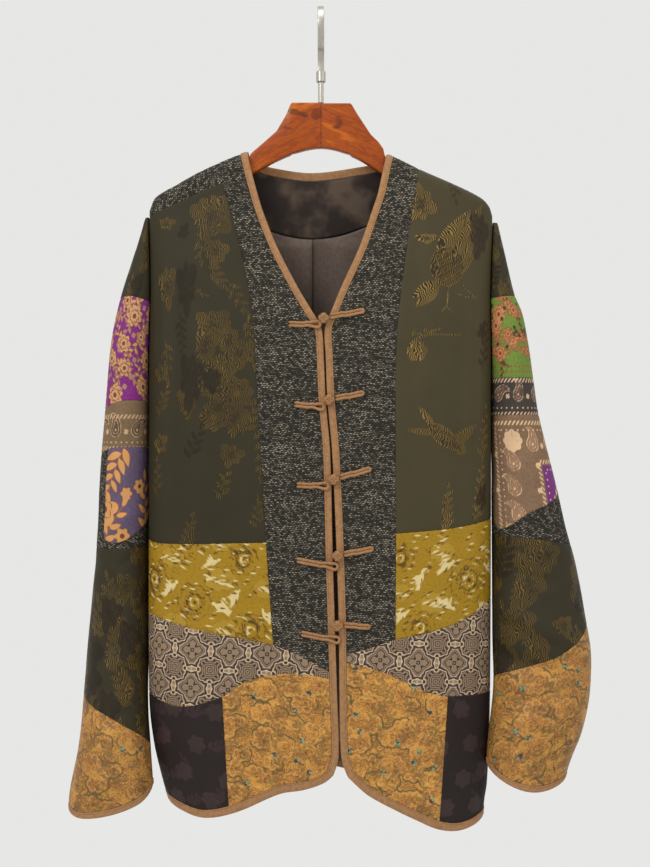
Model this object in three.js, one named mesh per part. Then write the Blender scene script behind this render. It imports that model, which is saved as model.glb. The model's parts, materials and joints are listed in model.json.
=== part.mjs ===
// A collarless patchwork jacket with five knotted frog closures, hung on a wooden hanger.
// Millimetres. Z is up, the front of the jacket faces -Y, and the origin is the inner top
// of the hook. Heights are given as "down": the distance below that origin.
import * as THREE from 'three';

// Driving sizes
const CLOTH = 1.6; // wall of a cut panel with its interlining
const LINING = 1.0; // wall of the lining and of the neck facing
const LAYER_GAP = 0.4; // between a panel and the layer inside it
const SEAM_GAP = 0.3; // between two panels at a seam
const BINDING_WIDTH = 8; // bias binding, as it shows on the face
const BINDING_PROUD = 0.7; // how far the binding stands out from the cloth beside it
const CUFF_BINDING = 7;
const SHOULDER_HALF = 197; // half of the width between the dropped shoulder points
const RIDGE_ROUND = 14; // height over which the cloth turns down from the shoulder ridge
const SIDE_POWER = 3; // roundness of the body's section: 2 is an ellipse
const ARMHOLE_HALF = 16; // half of the armhole's width, front to back
const CORD = 3.4; // diameter of the rolled cord of a frog
const KNOT = 10.5; // diameter of a frog's knot
const KNOT_DEPTH = 9.7; // the same, front to back
const HANGER_THICK = 12;
const HOOK_WIDTH = 7.5;
const HOOK_THICK = 3;
const HOOK_INNER = 22; // inner radius of the hook's bend

// Height of the shoulder ridge, from the viewer's left to right
const RIDGE = [
  { x: -197, down: 232 },
  { x: -191, down: 218 },
  { x: -165, down: 202 },
  { x: -139, down: 187.5 },
  { x: -87, down: 165.5 },
  { x: -40, down: 157 },
  { x: 20, down: 157 },
  { x: 77, down: 168 },
  { x: 114, down: 185 },
  { x: 154, down: 202.5 },
  { x: 183, down: 217 },
  { x: 193, down: 227 },
  { x: 197, down: 238 },
];

// Half width of the body on each side of the middle, and its depth in front and behind
const BODY = [
  { down: 150, left: 197, right: 197, front: 15, back: 14 },
  { down: 225, left: 197, right: 197, front: 27, back: 24 },
  { down: 300, left: 197, right: 196, front: 43, back: 38 },
  { down: 420, left: 197, right: 195, front: 57, back: 52 },
  { down: 600, left: 197, right: 194.5, front: 63, back: 58 },
  { down: 790, left: 196.5, right: 193.5, front: 63, back: 58 },
  { down: 841, left: 191, right: 192, front: 61, back: 56 },
  { down: 887, left: 180, right: 190, front: 58, back: 54 },
  { down: 907, left: 174, right: 187, front: 57, back: 53 },
  { down: 960, left: 165, right: 183, front: 55, back: 51 },
];

// Soft folds of the body: where they run, how wide they are and how far they stand out
const FRONT_FOLDS = [
  { x: -168, lean: 3, top: 255, foot: 620, width: 11, out: -4.5 },
  { x: -140, lean: 9, top: 235, foot: 560, width: 15, out: 3 },
  { x: -104, lean: 12, top: 330, foot: 800, width: 17, out: -2.5 },
  { x: -150, lean: 14, top: 690, foot: 960, width: 20, out: 5 },
  { x: -78, lean: 6, top: 660, foot: 940, width: 24, out: -5 },
  { x: -20, lean: 0, top: 700, foot: 930, width: 20, out: 4 },
  { x: 60, lean: 4, top: 690, foot: 940, width: 22, out: -4.5 },
  { x: 112, lean: -5, top: 640, foot: 970, width: 24, out: 5 },
  { x: 160, lean: -2, top: 250, foot: 640, width: 14, out: -5 },
  { x: 128, lean: -8, top: 240, foot: 520, width: 18, out: 3 },
  { x: 165, lean: -4, top: 740, foot: 970, width: 14, out: -3.5 },
];
const BACK_FOLDS = [
  { x: -160, lean: 6, top: 260, foot: 700, width: 16, out: -5 },
  { x: -118, lean: 14, top: 240, foot: 640, width: 20, out: 3.5 },
  { x: -60, lean: 10, top: 430, foot: 940, width: 26, out: -5 },
  { x: -5, lean: 0, top: 520, foot: 930, width: 24, out: 5 },
  { x: 52, lean: -8, top: 400, foot: 940, width: 24, out: -4.5 },
  { x: 108, lean: -12, top: 260, foot: 900, width: 22, out: 4 },
  { x: 158, lean: -4, top: 250, foot: 680, width: 15, out: -5 },
  { x: -120, lean: 8, top: 690, foot: 960, width: 22, out: 5 },
];

// Upright seams and edges of the fronts: x at each height
const BAND_SEAM_LEFT = [
  { down: 170, x: -119 },
  { down: 212, x: -109.5 },
  { down: 274, x: -92 },
  { down: 347, x: -77.5 },
  { down: 434, x: -71.5 },
  { down: 609, x: -61 },
  { down: 722, x: -53 },
];
const BAND_SEAM_RIGHT = [
  { down: 180, x: 113 },
  { down: 288, x: 95.5 },
  { down: 361, x: 86.5 },
  { down: 420, x: 83.5 },
  { down: 600, x: 83.5 },
  { down: 716, x: 83 },
];
const OPENING_LEFT = [
  { down: 165, x: -93 },
  { down: 195, x: -86 },
  { down: 217, x: -80 },
  { down: 238, x: -73.5 },
  { down: 280, x: -57 },
  { down: 329, x: -32 },
  { down: 356, x: -16 },
  { down: 372, x: -7 },
  { down: 400, x: -4.8 },
  { down: 451, x: -2.5 },
  { down: 501, x: 2 },
  { down: 540, x: 3.5 },
  { down: 612, x: 5 },
  { down: 695, x: 7.5 },
  { down: 773, x: 10 },
  { down: 845, x: 11.8 },
  { down: 862, x: 7.5 },
];
const OPENING_RIGHT = [
  { down: 165, x: 84 },
  { down: 192, x: 78 },
  { down: 217, x: 72.5 },
  { down: 238, x: 65.5 },
  { down: 280, x: 51 },
  { down: 329, x: 29 },
  { down: 355, x: 18.5 },
  { down: 370, x: 12.3 },
  { down: 400, x: 13.2 },
  { down: 451, x: 15.4 },
  { down: 501, x: 20 },
  { down: 540, x: 22.2 },
  { down: 612, x: 25.2 },
  { down: 695, x: 27.8 },
  { down: 773, x: 28.6 },
  { down: 845, x: 30.6 },
  { down: 864, x: 36.5 },
];
const HEM_SEAM_LEFT = [
  { down: 770, x: -110.5 },
  { down: 905, x: -103 },
];
const HEM_SEAM_RIGHT = [
  { down: 770, x: 142.5 },
  { down: 921, x: 133 },
];

// Level seams and edges: height at each x
const YOKE_LEFT = [
  { x: -197, down: 240 },
  { x: -90, down: 192 },
];
const GREEN_FOOT_LEFT = [
  { x: -197, down: 608 },
  { x: -180, down: 611 },
  { x: -60, down: 608.5 },
];
const GREEN_FOOT_RIGHT = [
  { x: 80, down: 599 },
  { x: 153, down: 592.5 },
  { x: 196, down: 584 },
];
const MUSTARD_FOOT_LEFT = [
  { x: -197, down: 690 },
  { x: -160, down: 701 },
  { x: -116, down: 710 },
  { x: -52, down: 722 },
];
const MUSTARD_FOOT_RIGHT = [
  { x: 82, down: 716 },
  { x: 127, down: 706.5 },
  { x: 163, down: 694 },
  { x: 196, down: 674 },
];
const TWEED_FOOT_LEFT = [
  { x: -54, down: 721.5 },
  { x: -20, down: 735 },
  { x: 10, down: 752 },
];
const TWEED_FOOT_RIGHT = [
  { x: 26, down: 733 },
  { x: 50, down: 727 },
  { x: 84, down: 715.5 },
];
const TAUPE_FOOT_LEFT = [
  { x: -197, down: 782 },
  { x: -159, down: 792 },
  { x: -110, down: 780 },
  { x: -88, down: 765.5 },
  { x: -59, down: 756 },
  { x: -24, down: 753.5 },
  { x: 11, down: 759.5 },
];
const TAUPE_FOOT_RIGHT = [
  { x: 27, down: 741 },
  { x: 76, down: 755 },
  { x: 114, down: 772.5 },
  { x: 142, down: 780 },
  { x: 196, down: 780 },
];
const HEM_LEFT = [
  { x: -180, down: 893 },
  { x: -156, down: 903 },
  { x: -129, down: 908.5 },
  { x: -93, down: 900 },
  { x: -48, down: 880 },
  { x: -20, down: 874.5 },
  { x: 0, down: 868 },
  { x: 7.5, down: 862 },
];
const HEM_RIGHT = [
  { x: 36.5, down: 864 },
  { x: 60, down: 885 },
  { x: 112, down: 911 },
  { x: 133, down: 921 },
  { x: 153, down: 925 },
  { x: 170, down: 922 },
  { x: 190, down: 912 },
];
const HEM_BACK = [
  { x: -180, down: 893 },
  { x: -130, down: 903 },
  { x: -60, down: 884 },
  { x: 5, down: 872 },
  { x: 70, down: 888 },
  { x: 140, down: 918 },
  { x: 190, down: 912 },
];
const NECK_BACK = [
  { x: -93, down: 168 },
  { x: -90.5, down: 172.5 },
  { x: -86, down: 176.5 },
  { x: -77, down: 181 },
  { x: -58, down: 187 },
  { x: -10, down: 193 },
  { x: 50, down: 185.5 },
  { x: 70, down: 181 },
  { x: 78, down: 178 },
  { x: 82, down: 175 },
  { x: 84.5, down: 171 },
];
// Share of the way across the back neck at which its columns stand
const NECK_STOPS = [0.014, 0.04, 0.13, 0.35, 0.6, 0.85, 0.955, 0.985];

// Sleeves: outer and inner edge seen from the front, half depth and middle, front to back
const SLEEVE_LEFT = [
  { down: 240, outer: -202, inner: -197.4, depth: 3.6, middle: 0 },
  { down: 262, outer: -208, inner: -197.4, depth: 12, middle: 0 },
  { down: 289, outer: -216.5, inner: -197.4, depth: 20, middle: 0 },
  { down: 332, outer: -230, inner: -197.4, depth: 27, middle: 0 },
  { down: 381, outer: -240.5, inner: -197.4, depth: 31, middle: 0 },
  { down: 452, outer: -247, inner: -197.6, depth: 35, middle: 0 },
  { down: 530, outer: -254, inner: -199.5, depth: 36, middle: 5 },
  { down: 622, outer: -259, inner: -200, depth: 38, middle: 8 },
  { down: 735, outer: -268.5, inner: -200.5, depth: 40, middle: 2 },
  { down: 800, outer: -271.5, inner: -199.5, depth: 42, middle: -12 },
  { down: 843, outer: -274.5, inner: -193, depth: 43, middle: -26 },
  { down: 897, outer: -284, inner: -189, depth: 44, middle: -30 },
  { down: 925, outer: -282, inner: -189, depth: 44, middle: -31 },
];
const SLEEVE_RIGHT = [
  { down: 246, outer: 203, inner: 196.6, depth: 3.8, middle: 0 },
  { down: 285, outer: 212, inner: 196.4, depth: 17, middle: 0 },
  { down: 328, outer: 222, inner: 196, depth: 26, middle: 0 },
  { down: 350, outer: 231, inner: 196, depth: 29, middle: 0 },
  { down: 385, outer: 238, inner: 195.8, depth: 32, middle: 0 },
  { down: 428, outer: 244, inner: 195.6, depth: 35, middle: 0 },
  { down: 467, outer: 250, inner: 195.6, depth: 37, middle: 0 },
  { down: 545, outer: 269, inner: 197, depth: 39, middle: -2 },
  { down: 596, outer: 280.5, inner: 198, depth: 40, middle: -5 },
  { down: 636, outer: 290.5, inner: 198.5, depth: 41, middle: -8 },
  { down: 688, outer: 300, inner: 199.5, depth: 42, middle: -12 },
  { down: 733, outer: 306.5, inner: 199, depth: 43, middle: -17 },
  { down: 778, outer: 304.5, inner: 198, depth: 43, middle: -24 },
  { down: 820, outer: 295, inner: 190, depth: 42, middle: -31 },
  { down: 854, outer: 281.5, inner: 187, depth: 41, middle: -33 },
  { down: 895, outer: 268, inner: 190, depth: 40, middle: -34 },
];

// Folds of the sleeves. "turn" is the place round the sleeve: 0 outside, 0.5 in front,
// 1 inside and -0.5 behind; "lean" is how far the fold drops from one turn to the next.
const SLEEVE_FOLDS_LEFT = [
  { turn: 0.5, down: 500, lean: 60, span: 0.35, width: 16, out: -3.5 },
  { turn: 0.55, down: 585, lean: -50, span: 0.4, width: 15, out: 3 },
  { turn: 0.5, down: 668, lean: 70, span: 0.4, width: 14, out: -4 },
  { turn: 0.6, down: 742, lean: -80, span: 0.35, width: 16, out: 4 },
  { turn: 0.45, down: 845, lean: 40, span: 0.3, width: 22, out: -3 },
  { turn: -0.5, down: 560, lean: 60, span: 0.4, width: 18, out: -4 },
  { turn: -0.5, down: 700, lean: -60, span: 0.4, width: 16, out: 4 },
  { turn: -0.45, down: 800, lean: 50, span: 0.3, width: 18, out: -3.5 },
];
const SLEEVE_FOLDS_RIGHT = [
  { turn: 0.55, down: 500, lean: 70, span: 0.35, width: 18, out: -3.5 },
  { turn: 0.5, down: 600, lean: -60, span: 0.4, width: 16, out: 3 },
  { turn: 0.72, down: 742, lean: -40, span: 0.32, width: 11, out: -7 },
  { turn: 0.6, down: 700, lean: -70, span: 0.35, width: 18, out: 5 },
  { turn: 0.5, down: 805, lean: 30, span: 0.4, width: 20, out: 3 },
  { turn: -0.5, down: 560, lean: 60, span: 0.4, width: 18, out: -4 },
  { turn: -0.5, down: 735, lean: -50, span: 0.4, width: 14, out: -5 },
  { turn: -0.45, down: 690, lean: -50, span: 0.4, width: 16, out: 4 },
];

// Seams round the sleeves: height at each turn
const CAP_FOOT_LEFT = [
  { turn: -1, down: 338 },
  { turn: 0, down: 335 },
  { turn: 0.5, down: 332 },
  { turn: 1, down: 338 },
];
const UPPER_PRINT_FOOT_LEFT = [
  { turn: -1, down: 452 },
  { turn: 0, down: 461 },
  { turn: 0.5, down: 451 },
  { turn: 1, down: 452 },
];
const BAND_FOOT_LEFT = [
  { turn: -1, down: 504 },
  { turn: 0, down: 512 },
  { turn: 0.4, down: 504 },
  { turn: 1, down: 504 },
];
const LOWER_PRINT_FOOT_LEFT = [
  { turn: 0.28, down: 607 },
  { turn: 0.45, down: 612 },
  { turn: 0.7, down: 602 },
  { turn: 1, down: 575 },
  { turn: 1.29, down: 504 },
];
const ELBOW_SEAM_LEFT = [
  { turn: -1, down: 616 },
  { turn: 0, down: 619 },
  { turn: 1, down: 616 },
];
const CUFF_SEAM_LEFT = [
  { turn: -1, down: 839 },
  { turn: -0.5, down: 806 },
  { turn: 0, down: 785 },
  { turn: 0.4, down: 799 },
  { turn: 0.65, down: 815 },
  { turn: 1, down: 839 },
];
const CUFF_FOOT_LEFT = [
  { turn: -1, down: 876 },
  { turn: -0.5, down: 900 },
  { turn: 0, down: 903 },
  { turn: 0.3, down: 907 },
  { turn: 0.75, down: 893 },
  { turn: 1, down: 876 },
];
const CAP_FOOT_RIGHT = [
  { turn: -1, down: 334 },
  { turn: 0, down: 331 },
  { turn: 1, down: 334 },
];
const UPPER_PRINT_FOOT_RIGHT = [
  { turn: -1, down: 425 },
  { turn: 1, down: 425 },
];
const BAND_FOOT_RIGHT = [
  { turn: -1, down: 467 },
  { turn: 1, down: 467 },
];
const LOWER_PRINT_FOOT_RIGHT = [
  { turn: -0.29, down: 505 },
  { turn: 0, down: 548 },
  { turn: 0.5, down: 576 },
  { turn: 0.86, down: 594 },
  { turn: 1.14, down: 540 },
  { turn: 1.43, down: 467 },
];
const ELBOW_SEAM_RIGHT = [
  { turn: -1, down: 601 },
  { turn: 0, down: 614 },
  { turn: 0.5, down: 606 },
  { turn: 1, down: 601 },
];
const CUFF_SEAM_RIGHT = [
  { turn: -1, down: 764 },
  { turn: -0.5, down: 738 },
  { turn: 0, down: 705 },
  { turn: 0.5, down: 741 },
  { turn: 1, down: 764 },
];
const CUFF_FOOT_RIGHT = [
  { turn: -1, down: 852 },
  { turn: -0.5, down: 872 },
  { turn: 0, down: 867 },
  { turn: 0.5, down: 876 },
  { turn: 1, down: 852 },
];

// Frogs: the ends of the looped arm and of the knotted arm, and the knot
const FROGS = [
  { loopX: -34, loopDown: 368, eyeX: -2, eyeDown: 369.5, knotX: 3, knotDown: 362, armX: 45, armDown: 353.5 },
  { loopX: -27.5, loopDown: 457.5, eyeX: 2, eyeDown: 461.5, knotX: 9, knotDown: 453, armX: 44.5, armDown: 445.5 },
  { loopX: -25, loopDown: 547, eyeX: 7, eyeDown: 549, knotX: 14, knotDown: 541, armX: 52, armDown: 530 },
  { loopX: -25, loopDown: 630, eyeX: 17, eyeDown: 638, knotX: 18, knotDown: 625.5, armX: 54.5, armDown: 618 },
  { loopX: -20, loopDown: 711, eyeX: 19, eyeDown: 719, knotX: 18, knotDown: 702.5, armX: 51, armDown: 704 },
];

// Grid counts
const SIDE_COLUMNS = 7;
const BAND_COLUMNS = 5;
const SLEEVE_COLUMNS = 14;
const SIDE_ROWS_LEFT = 4;
const SIDE_ROWS_RIGHT = 3;
const MUSTARD_ROWS = 3;
const TAUPE_ROWS = 3;
const HEM_ROWS = 5;

const FINISH = {
  tweed: { color: 0x3c3b39, roughness: 0.95, metalness: 0 },
  green: { color: 0x3b3822, roughness: 0.5, metalness: 0.05 },
  mustard: { color: 0x8f7a16, roughness: 0.5, metalness: 0.05 },
  taupe: { color: 0x77685a, roughness: 0.6, metalness: 0.05 },
  gold: { color: 0x9a6a33, roughness: 0.5, metalness: 0.1 },
  dark: { color: 0x1f1815, roughness: 0.5, metalness: 0 },
  violet: { color: 0x6a3f7c, roughness: 0.55, metalness: 0 },
  paisley: { color: 0x6b5340, roughness: 0.6, metalness: 0 },
  leaf: { color: 0x6b8a3a, roughness: 0.6, metalness: 0 },
  binding: { color: 0x8a6240, roughness: 0.7, metalness: 0 },
  lining: { color: 0x4b3f39, roughness: 0.4, metalness: 0 },
  facing: { color: 0x221c1a, roughness: 0.5, metalness: 0 },
  wood: { color: 0x8e3f14, roughness: 0.3, metalness: 0 },
  steel: { color: 0xb9bab8, roughness: 0.3, metalness: 1 },
};

const jacket = new THREE.Group();
jacket.name = 'jacket_on_hanger';

/** Smooth curve through a table: cubic, with each slope taken from the neighbouring rows. */
function through(rows, input, output) {
  const slope = rows.map((row, i) => {
    const before = rows[Math.max(i - 1, 0)];
    const after = rows[Math.min(i + 1, rows.length - 1)];
    return (after[output] - before[output]) / (after[input] - before[input]);
  });
  return (at) => {
    let i = rows.findIndex((row) => row[input] > at) - 1;
    if (at <= rows[0][input]) return rows[0][output] + slope[0] * (at - rows[0][input]);
    if (i < 0) i = rows.length - 2;
    const step = rows[i + 1][input] - rows[i][input];
    const t = (at - rows[i][input]) / step;
    if (t > 1) return rows[i + 1][output] + slope[i + 1] * (at - rows[i + 1][input]);
    const rise = 3 * t * t - 2 * t * t * t;
    const bend = slope[i] * step * t * (1 - t) ** 2 - slope[i + 1] * step * t * t * (1 - t);
    return rows[i][output] * (1 - rise) + rows[i + 1][output] * rise + bend;
  };
}

const ridgeAt = through(RIDGE, 'x', 'down');
const halfLeft = through(BODY, 'down', 'left');
const halfRight = through(BODY, 'down', 'right');
const depthOf = { front: through(BODY, 'down', 'front'), back: through(BODY, 'down', 'back') };
const QUARTER_TURN = RIDGE_ROUND * Math.PI / 2;
const RIDGE_STOPS = [0, 0.25, 0.55, 1]; // rows of the turn over the ridge, as shares of it

const mix = (a, b, t) => a + (b - a) * t;
const halfAt = (side, down) => (side < 0 ? halfLeft(down) : halfRight(down));
const bell = (t) => Math.exp(-t * t);

/** How far the folds stand out at a place: each is a bell across and eases in and out along. */
function foldsAt(folds, x, down) {
  let out = 0;
  for (const fold of folds) {
    const along = (down - fold.top) / (fold.foot - fold.top);
    if (along <= 0 || along >= 1) continue;
    const centre = fold.x + fold.lean * along;
    out += fold.out * bell((x - centre) / fold.width) * Math.sin(Math.PI * along) ** 0.8;
  }
  return out;
}

/**
 * Point of the body's shell. "turn" goes from -1 at the left side through 0 at the middle to
 * 1 at the right side, "run" is the way down from the shoulder ridge, and "inset" is the
 * depth below the outer face. The section is a superellipse; the ridge is a quarter round.
 */
function bodyPoint(face, turn, run, inset = 0) {
  const sine = Math.sin(turn * Math.PI / 2);
  const bend = Math.min(run / RIDGE_ROUND, Math.PI / 2);
  const drop = RIDGE_ROUND * (1 - Math.cos(bend)) + Math.max(run - QUARTER_TURN, 0);
  const down = ridgeAt(SHOULDER_HALF * sine) + drop;
  const x = (halfAt(sine, down) - inset) * sine;
  const round = Math.max(1 - Math.abs(sine) ** SIDE_POWER, 0) ** (1 / SIDE_POWER);
  const folds = face === 'front' ? FRONT_FOLDS : BACK_FOLDS;
  const depth = (depthOf[face](down) - inset) * Math.sin(bend) + foldsAt(folds, x, down);
  return new THREE.Vector3(x, depth * round * (face === 'front' ? -1 : 1), -(down + inset));
}

/** Turn and run of the place that is seen at x and "down" from the front or from behind. */
function onBody(x, down) {
  const sine = THREE.MathUtils.clamp(x / halfAt(x, down), -1, 1);
  const drop = Math.max(down - ridgeAt(SHOULDER_HALF * sine), 0);
  const run = drop < RIDGE_ROUND
    ? RIDGE_ROUND * Math.acos(1 - drop / RIDGE_ROUND)
    : QUARTER_TURN + drop - RIDGE_ROUND;
  return [Math.asin(sine) / (Math.PI / 2), run];
}

/** The x and "down" of a turn and run. */
function seenAt([turn, run]) {
  const point = bodyPoint('front', turn, run);
  return [point.x, -point.z];
}

/** Where an upright edge crosses a level one. */
function crossing(xAt, downAt) {
  let x = xAt(500);
  let down = downAt(x);
  for (let i = 0; i < 30; i += 1) {
    x = xAt(down);
    down = downAt(x);
  }
  return [x, down];
}

/** Places along an upright edge, evenly between two heights. */
function alongUpright(xAt, from, to, count) {
  return Array.from({ length: count + 1 }, (_, i) => {
    const down = mix(from, to, i / count);
    return onBody(xAt(down), down);
  });
}

/** Places along a level edge, evenly in turn between two places. */
function alongLevel(downAt, from, to, count) {
  return Array.from({ length: count + 1 }, (_, i) => {
    if (i === 0) return from;
    if (i === count) return to;
    const turn = mix(from[0], to[0], i / count);
    const sine = Math.sin(turn * Math.PI / 2);
    let x = SHOULDER_HALF * sine;
    for (let k = 0; k < 6; k += 1) x = halfAt(sine, downAt(x)) * sine;
    return [turn, onBody(x, downAt(x))[1]];
  });
}

/** Places along an upright edge that starts on the shoulder ridge, closer together there. */
function alongFromRidge(xAt, to, count) {
  const end = onBody(xAt(to), to)[1];
  const stops = RIDGE_STOPS.map((share) => share * QUARTER_TURN);
  const rest = count - stops.length + 1;
  for (let i = 1; i <= rest; i += 1) stops.push(mix(QUARTER_TURN, end, i / rest));
  return stops.map((run) => {
    let turn = xAt(200) / SHOULDER_HALF;
    for (let k = 0; k < 12; k += 1) {
      const down = -bodyPoint('front', turn, run).z;
      const sine = THREE.MathUtils.clamp(xAt(down) / halfAt(turn, down), -1, 1);
      turn = Math.asin(sine) / (Math.PI / 2);
    }
    return [turn, run];
  });
}

/** Splits a table of heights into even steps. */
function steps(marks, counts) {
  const list = [marks[0]];
  counts.forEach((count, k) => {
    for (let i = 1; i <= count; i += 1) list.push(mix(marks[k], marks[k + 1], i / count));
  });
  return list;
}

/** Fills a four-sided patch between its edges, so that neighbours share their seam points. */
function fillPatch(top, bottom, left, right) {
  const rows = left.length - 1;
  const columns = top.length - 1;
  return left.map((_, i) => top.map((__, j) => [0, 1].map((k) => {
    const s = j / columns;
    const t = i / rows;
    const corners = mix(mix(top[0][k], top[columns][k], s), mix(bottom[0][k], bottom[columns][k], s), t);
    return mix(left[i][k], right[i][k], s) + mix(top[j][k], bottom[j][k], t) - corners;
  })));
}

/** Draws the edges of a grid of points back by half a seam gap. */
function drawBack(grid, closed) {
  const pull = (from, towards) => {
    const way = towards.clone().sub(from);
    const length = way.length();
    return length > 1e-6 ? way.multiplyScalar(SEAM_GAP / 2 / length) : way;
  };
  const last = grid.length - 1;
  const end = grid[0].length - 1;
  const shift = grid.map((row) => row.map(() => new THREE.Vector3()));
  for (let j = 0; j <= end; j += 1) {
    shift[0][j].add(pull(grid[0][j], grid[1][j]));
    shift[last][j].add(pull(grid[last][j], grid[last - 1][j]));
  }
  if (!closed) {
    for (let i = 0; i <= last; i += 1) {
      shift[i][0].add(pull(grid[i][0], grid[i][1]));
      shift[i][end].add(pull(grid[i][end], grid[i][end - 1]));
    }
  }
  return grid.map((row, i) => row.map((point, j) => point.clone().add(shift[i][j])));
}

/** Adds a mesh made of triangles, turned so that its faces point outwards. */
function addSolid(name, triangles, finish) {
  let volume = 0;
  for (const [a, b, c] of triangles) volume += a.dot(b.clone().cross(c));
  const positions = [];
  for (const [a, b, c] of triangles) {
    for (const point of volume < 0 ? [a, c, b] : [a, b, c]) positions.push(point.x, point.y, point.z);
  }
  const geometry = new THREE.BufferGeometry();
  geometry.setAttribute('position', new THREE.Float32BufferAttribute(positions, 3));
  geometry.computeVertexNormals();
  const mesh = new THREE.Mesh(geometry, new THREE.MeshStandardMaterial(FINISH[finish]));
  mesh.name = name;
  jacket.add(mesh);
}

/** Two triangles for a four-sided face, leaving out a side that has no length. */
function face(list, a, b, c, d) {
  const near = (p, q) => p.distanceTo(q) < 2e-3;
  if (!near(a, b) && !near(b, c) && !near(a, c)) list.push([a, b, c]);
  if (!near(a, c) && !near(c, d) && !near(a, d)) list.push([a, c, d]);
}

/** A closed wall between an outer and an inner grid of points. */
function wallTriangles(outerGrid, innerGrid, closed = false) {
  const outer = drawBack(outerGrid, closed);
  const inner = drawBack(innerGrid, closed);
  const rows = outer.length - 1;
  const columns = outer[0].length - 1;
  const list = [];
  if (closed) {
    for (const grid of [outer, inner]) for (const row of grid) row[columns] = row[0];
  }
  for (let i = 0; i < rows; i += 1) {
    for (let j = 0; j < columns; j += 1) {
      face(list, outer[i][j], outer[i][j + 1], outer[i + 1][j + 1], outer[i + 1][j]);
      face(list, inner[i][j], inner[i + 1][j], inner[i + 1][j + 1], inner[i][j + 1]);
    }
    if (!closed) {
      face(list, outer[i][0], outer[i + 1][0], inner[i + 1][0], inner[i][0]);
      face(list, outer[i][columns], inner[i][columns], inner[i + 1][columns], outer[i + 1][columns]);
    }
  }
  for (let j = 0; j < columns; j += 1) {
    face(list, outer[0][j], inner[0][j], inner[0][j + 1], outer[0][j + 1]);
    face(list, outer[rows][j], outer[rows][j + 1], inner[rows][j + 1], inner[rows][j]);
  }
  return list;
}

/** A panel of the body between four edges given as turns and runs. */
function bodyPanel(name, finish, side, edges) {
  const grid = fillPatch(edges.top, edges.bottom, edges.left, edges.right);
  const lift = (inset) => grid.map((row) => row.map(([turn, run]) => bodyPoint(side, turn, run, inset)));
  addSolid(name, wallTriangles(lift(0), lift(CLOTH)), finish);
}

// The armhole: a narrow leaf shape at each side, shared by the body and the sleeve
const ARMHOLE = {
  left: { side: -1, top: 240, foot: 452, stops: steps([240, 338, 452], [4, 4]) },
  right: { side: 1, top: 246, foot: 467, stops: steps([246, 334, 425, 467], [4, 3, 2]) },
};

/** Half of the armhole's width at a height. */
function armholeHalf(armhole, down) {
  const along = (down - armhole.top) / (armhole.foot - armhole.top);
  return along >= 1 ? 0 : ARMHOLE_HALF * Math.sin(Math.PI * mix(0.06, 1, along));
}

/** Turn and run of the armhole's edge at a height, on the front or on the back. */
function armholeEdge(armhole, side, down) {
  const half = armholeHalf(armhole, down);
  let sine = 1;
  for (let i = 0; i < 8; i += 1) {
    const x = armhole.side * halfAt(armhole.side, down) * sine;
    const folds = side === 'front' ? FRONT_FOLDS : BACK_FOLDS;
    const bend = Math.min(onBody(x, down)[1] / RIDGE_ROUND, Math.PI / 2);
    const depth = depthOf[side](down) * Math.sin(bend) + foldsAt(folds, x, down);
    sine = (1 - Math.min(half / depth, 0.95) ** SIDE_POWER) ** (1 / SIDE_POWER);
  }
  const x = armhole.side * halfAt(armhole.side, down) * sine;
  return onBody(x, down);
}

/** Places down a side: the shoulder point, the armhole's edge and then the side seam. */
function sideEdge(armhole, side, footDown, rows, withTip) {
  const list = armhole.stops.map((down) => armholeEdge(armhole, side, down));
  const first = list[0][1];
  if (withTip) list.unshift(...RIDGE_STOPS.slice(0, -1).map((share) => [armhole.side, share * first]));
  for (let i = 1; i <= rows; i += 1) {
    const down = mix(armhole.foot, footDown, i / rows);
    list.push(onBody(armhole.side * halfAt(armhole.side, down), down));
  }
  return list;
}

/** Places along the side seam between two heights. */
function sideSeam(side, from, to, rows) {
  return alongUpright((down) => side * halfAt(side, down), from, to, rows);
}

/** Height at which a level edge reaches the side seam. */
function atSide(side, downAt) {
  let down = downAt(side * SHOULDER_HALF);
  for (let i = 0; i < 8; i += 1) down = downAt(side * halfAt(side, down));
  return down;
}

const curves = {
  bandLeft: through(BAND_SEAM_LEFT, 'down', 'x'),
  bandRight: through(BAND_SEAM_RIGHT, 'down', 'x'),
  openLeft: through(OPENING_LEFT, 'down', 'x'),
  openRight: through(OPENING_RIGHT, 'down', 'x'),
  hemSeamLeft: through(HEM_SEAM_LEFT, 'down', 'x'),
  hemSeamRight: through(HEM_SEAM_RIGHT, 'down', 'x'),
  yokeLeft: through(YOKE_LEFT, 'x', 'down'),
  greenLeft: through(GREEN_FOOT_LEFT, 'x', 'down'),
  greenRight: through(GREEN_FOOT_RIGHT, 'x', 'down'),
  mustardLeft: through(MUSTARD_FOOT_LEFT, 'x', 'down'),
  mustardRight: through(MUSTARD_FOOT_RIGHT, 'x', 'down'),
  tweedLeft: through(TWEED_FOOT_LEFT, 'x', 'down'),
  tweedRight: through(TWEED_FOOT_RIGHT, 'x', 'down'),
  taupeLeft: through(TAUPE_FOOT_LEFT, 'x', 'down'),
  taupeRight: through(TAUPE_FOOT_RIGHT, 'x', 'down'),
  hemLeft: through(HEM_LEFT, 'x', 'down'),
  hemRight: through(HEM_RIGHT, 'x', 'down'),
  hemBack: through(HEM_BACK, 'x', 'down'),
  neckBack: through(NECK_BACK, 'x', 'down'),
};

const join = (first, second) => [...first, ...second.slice(1)];

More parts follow.
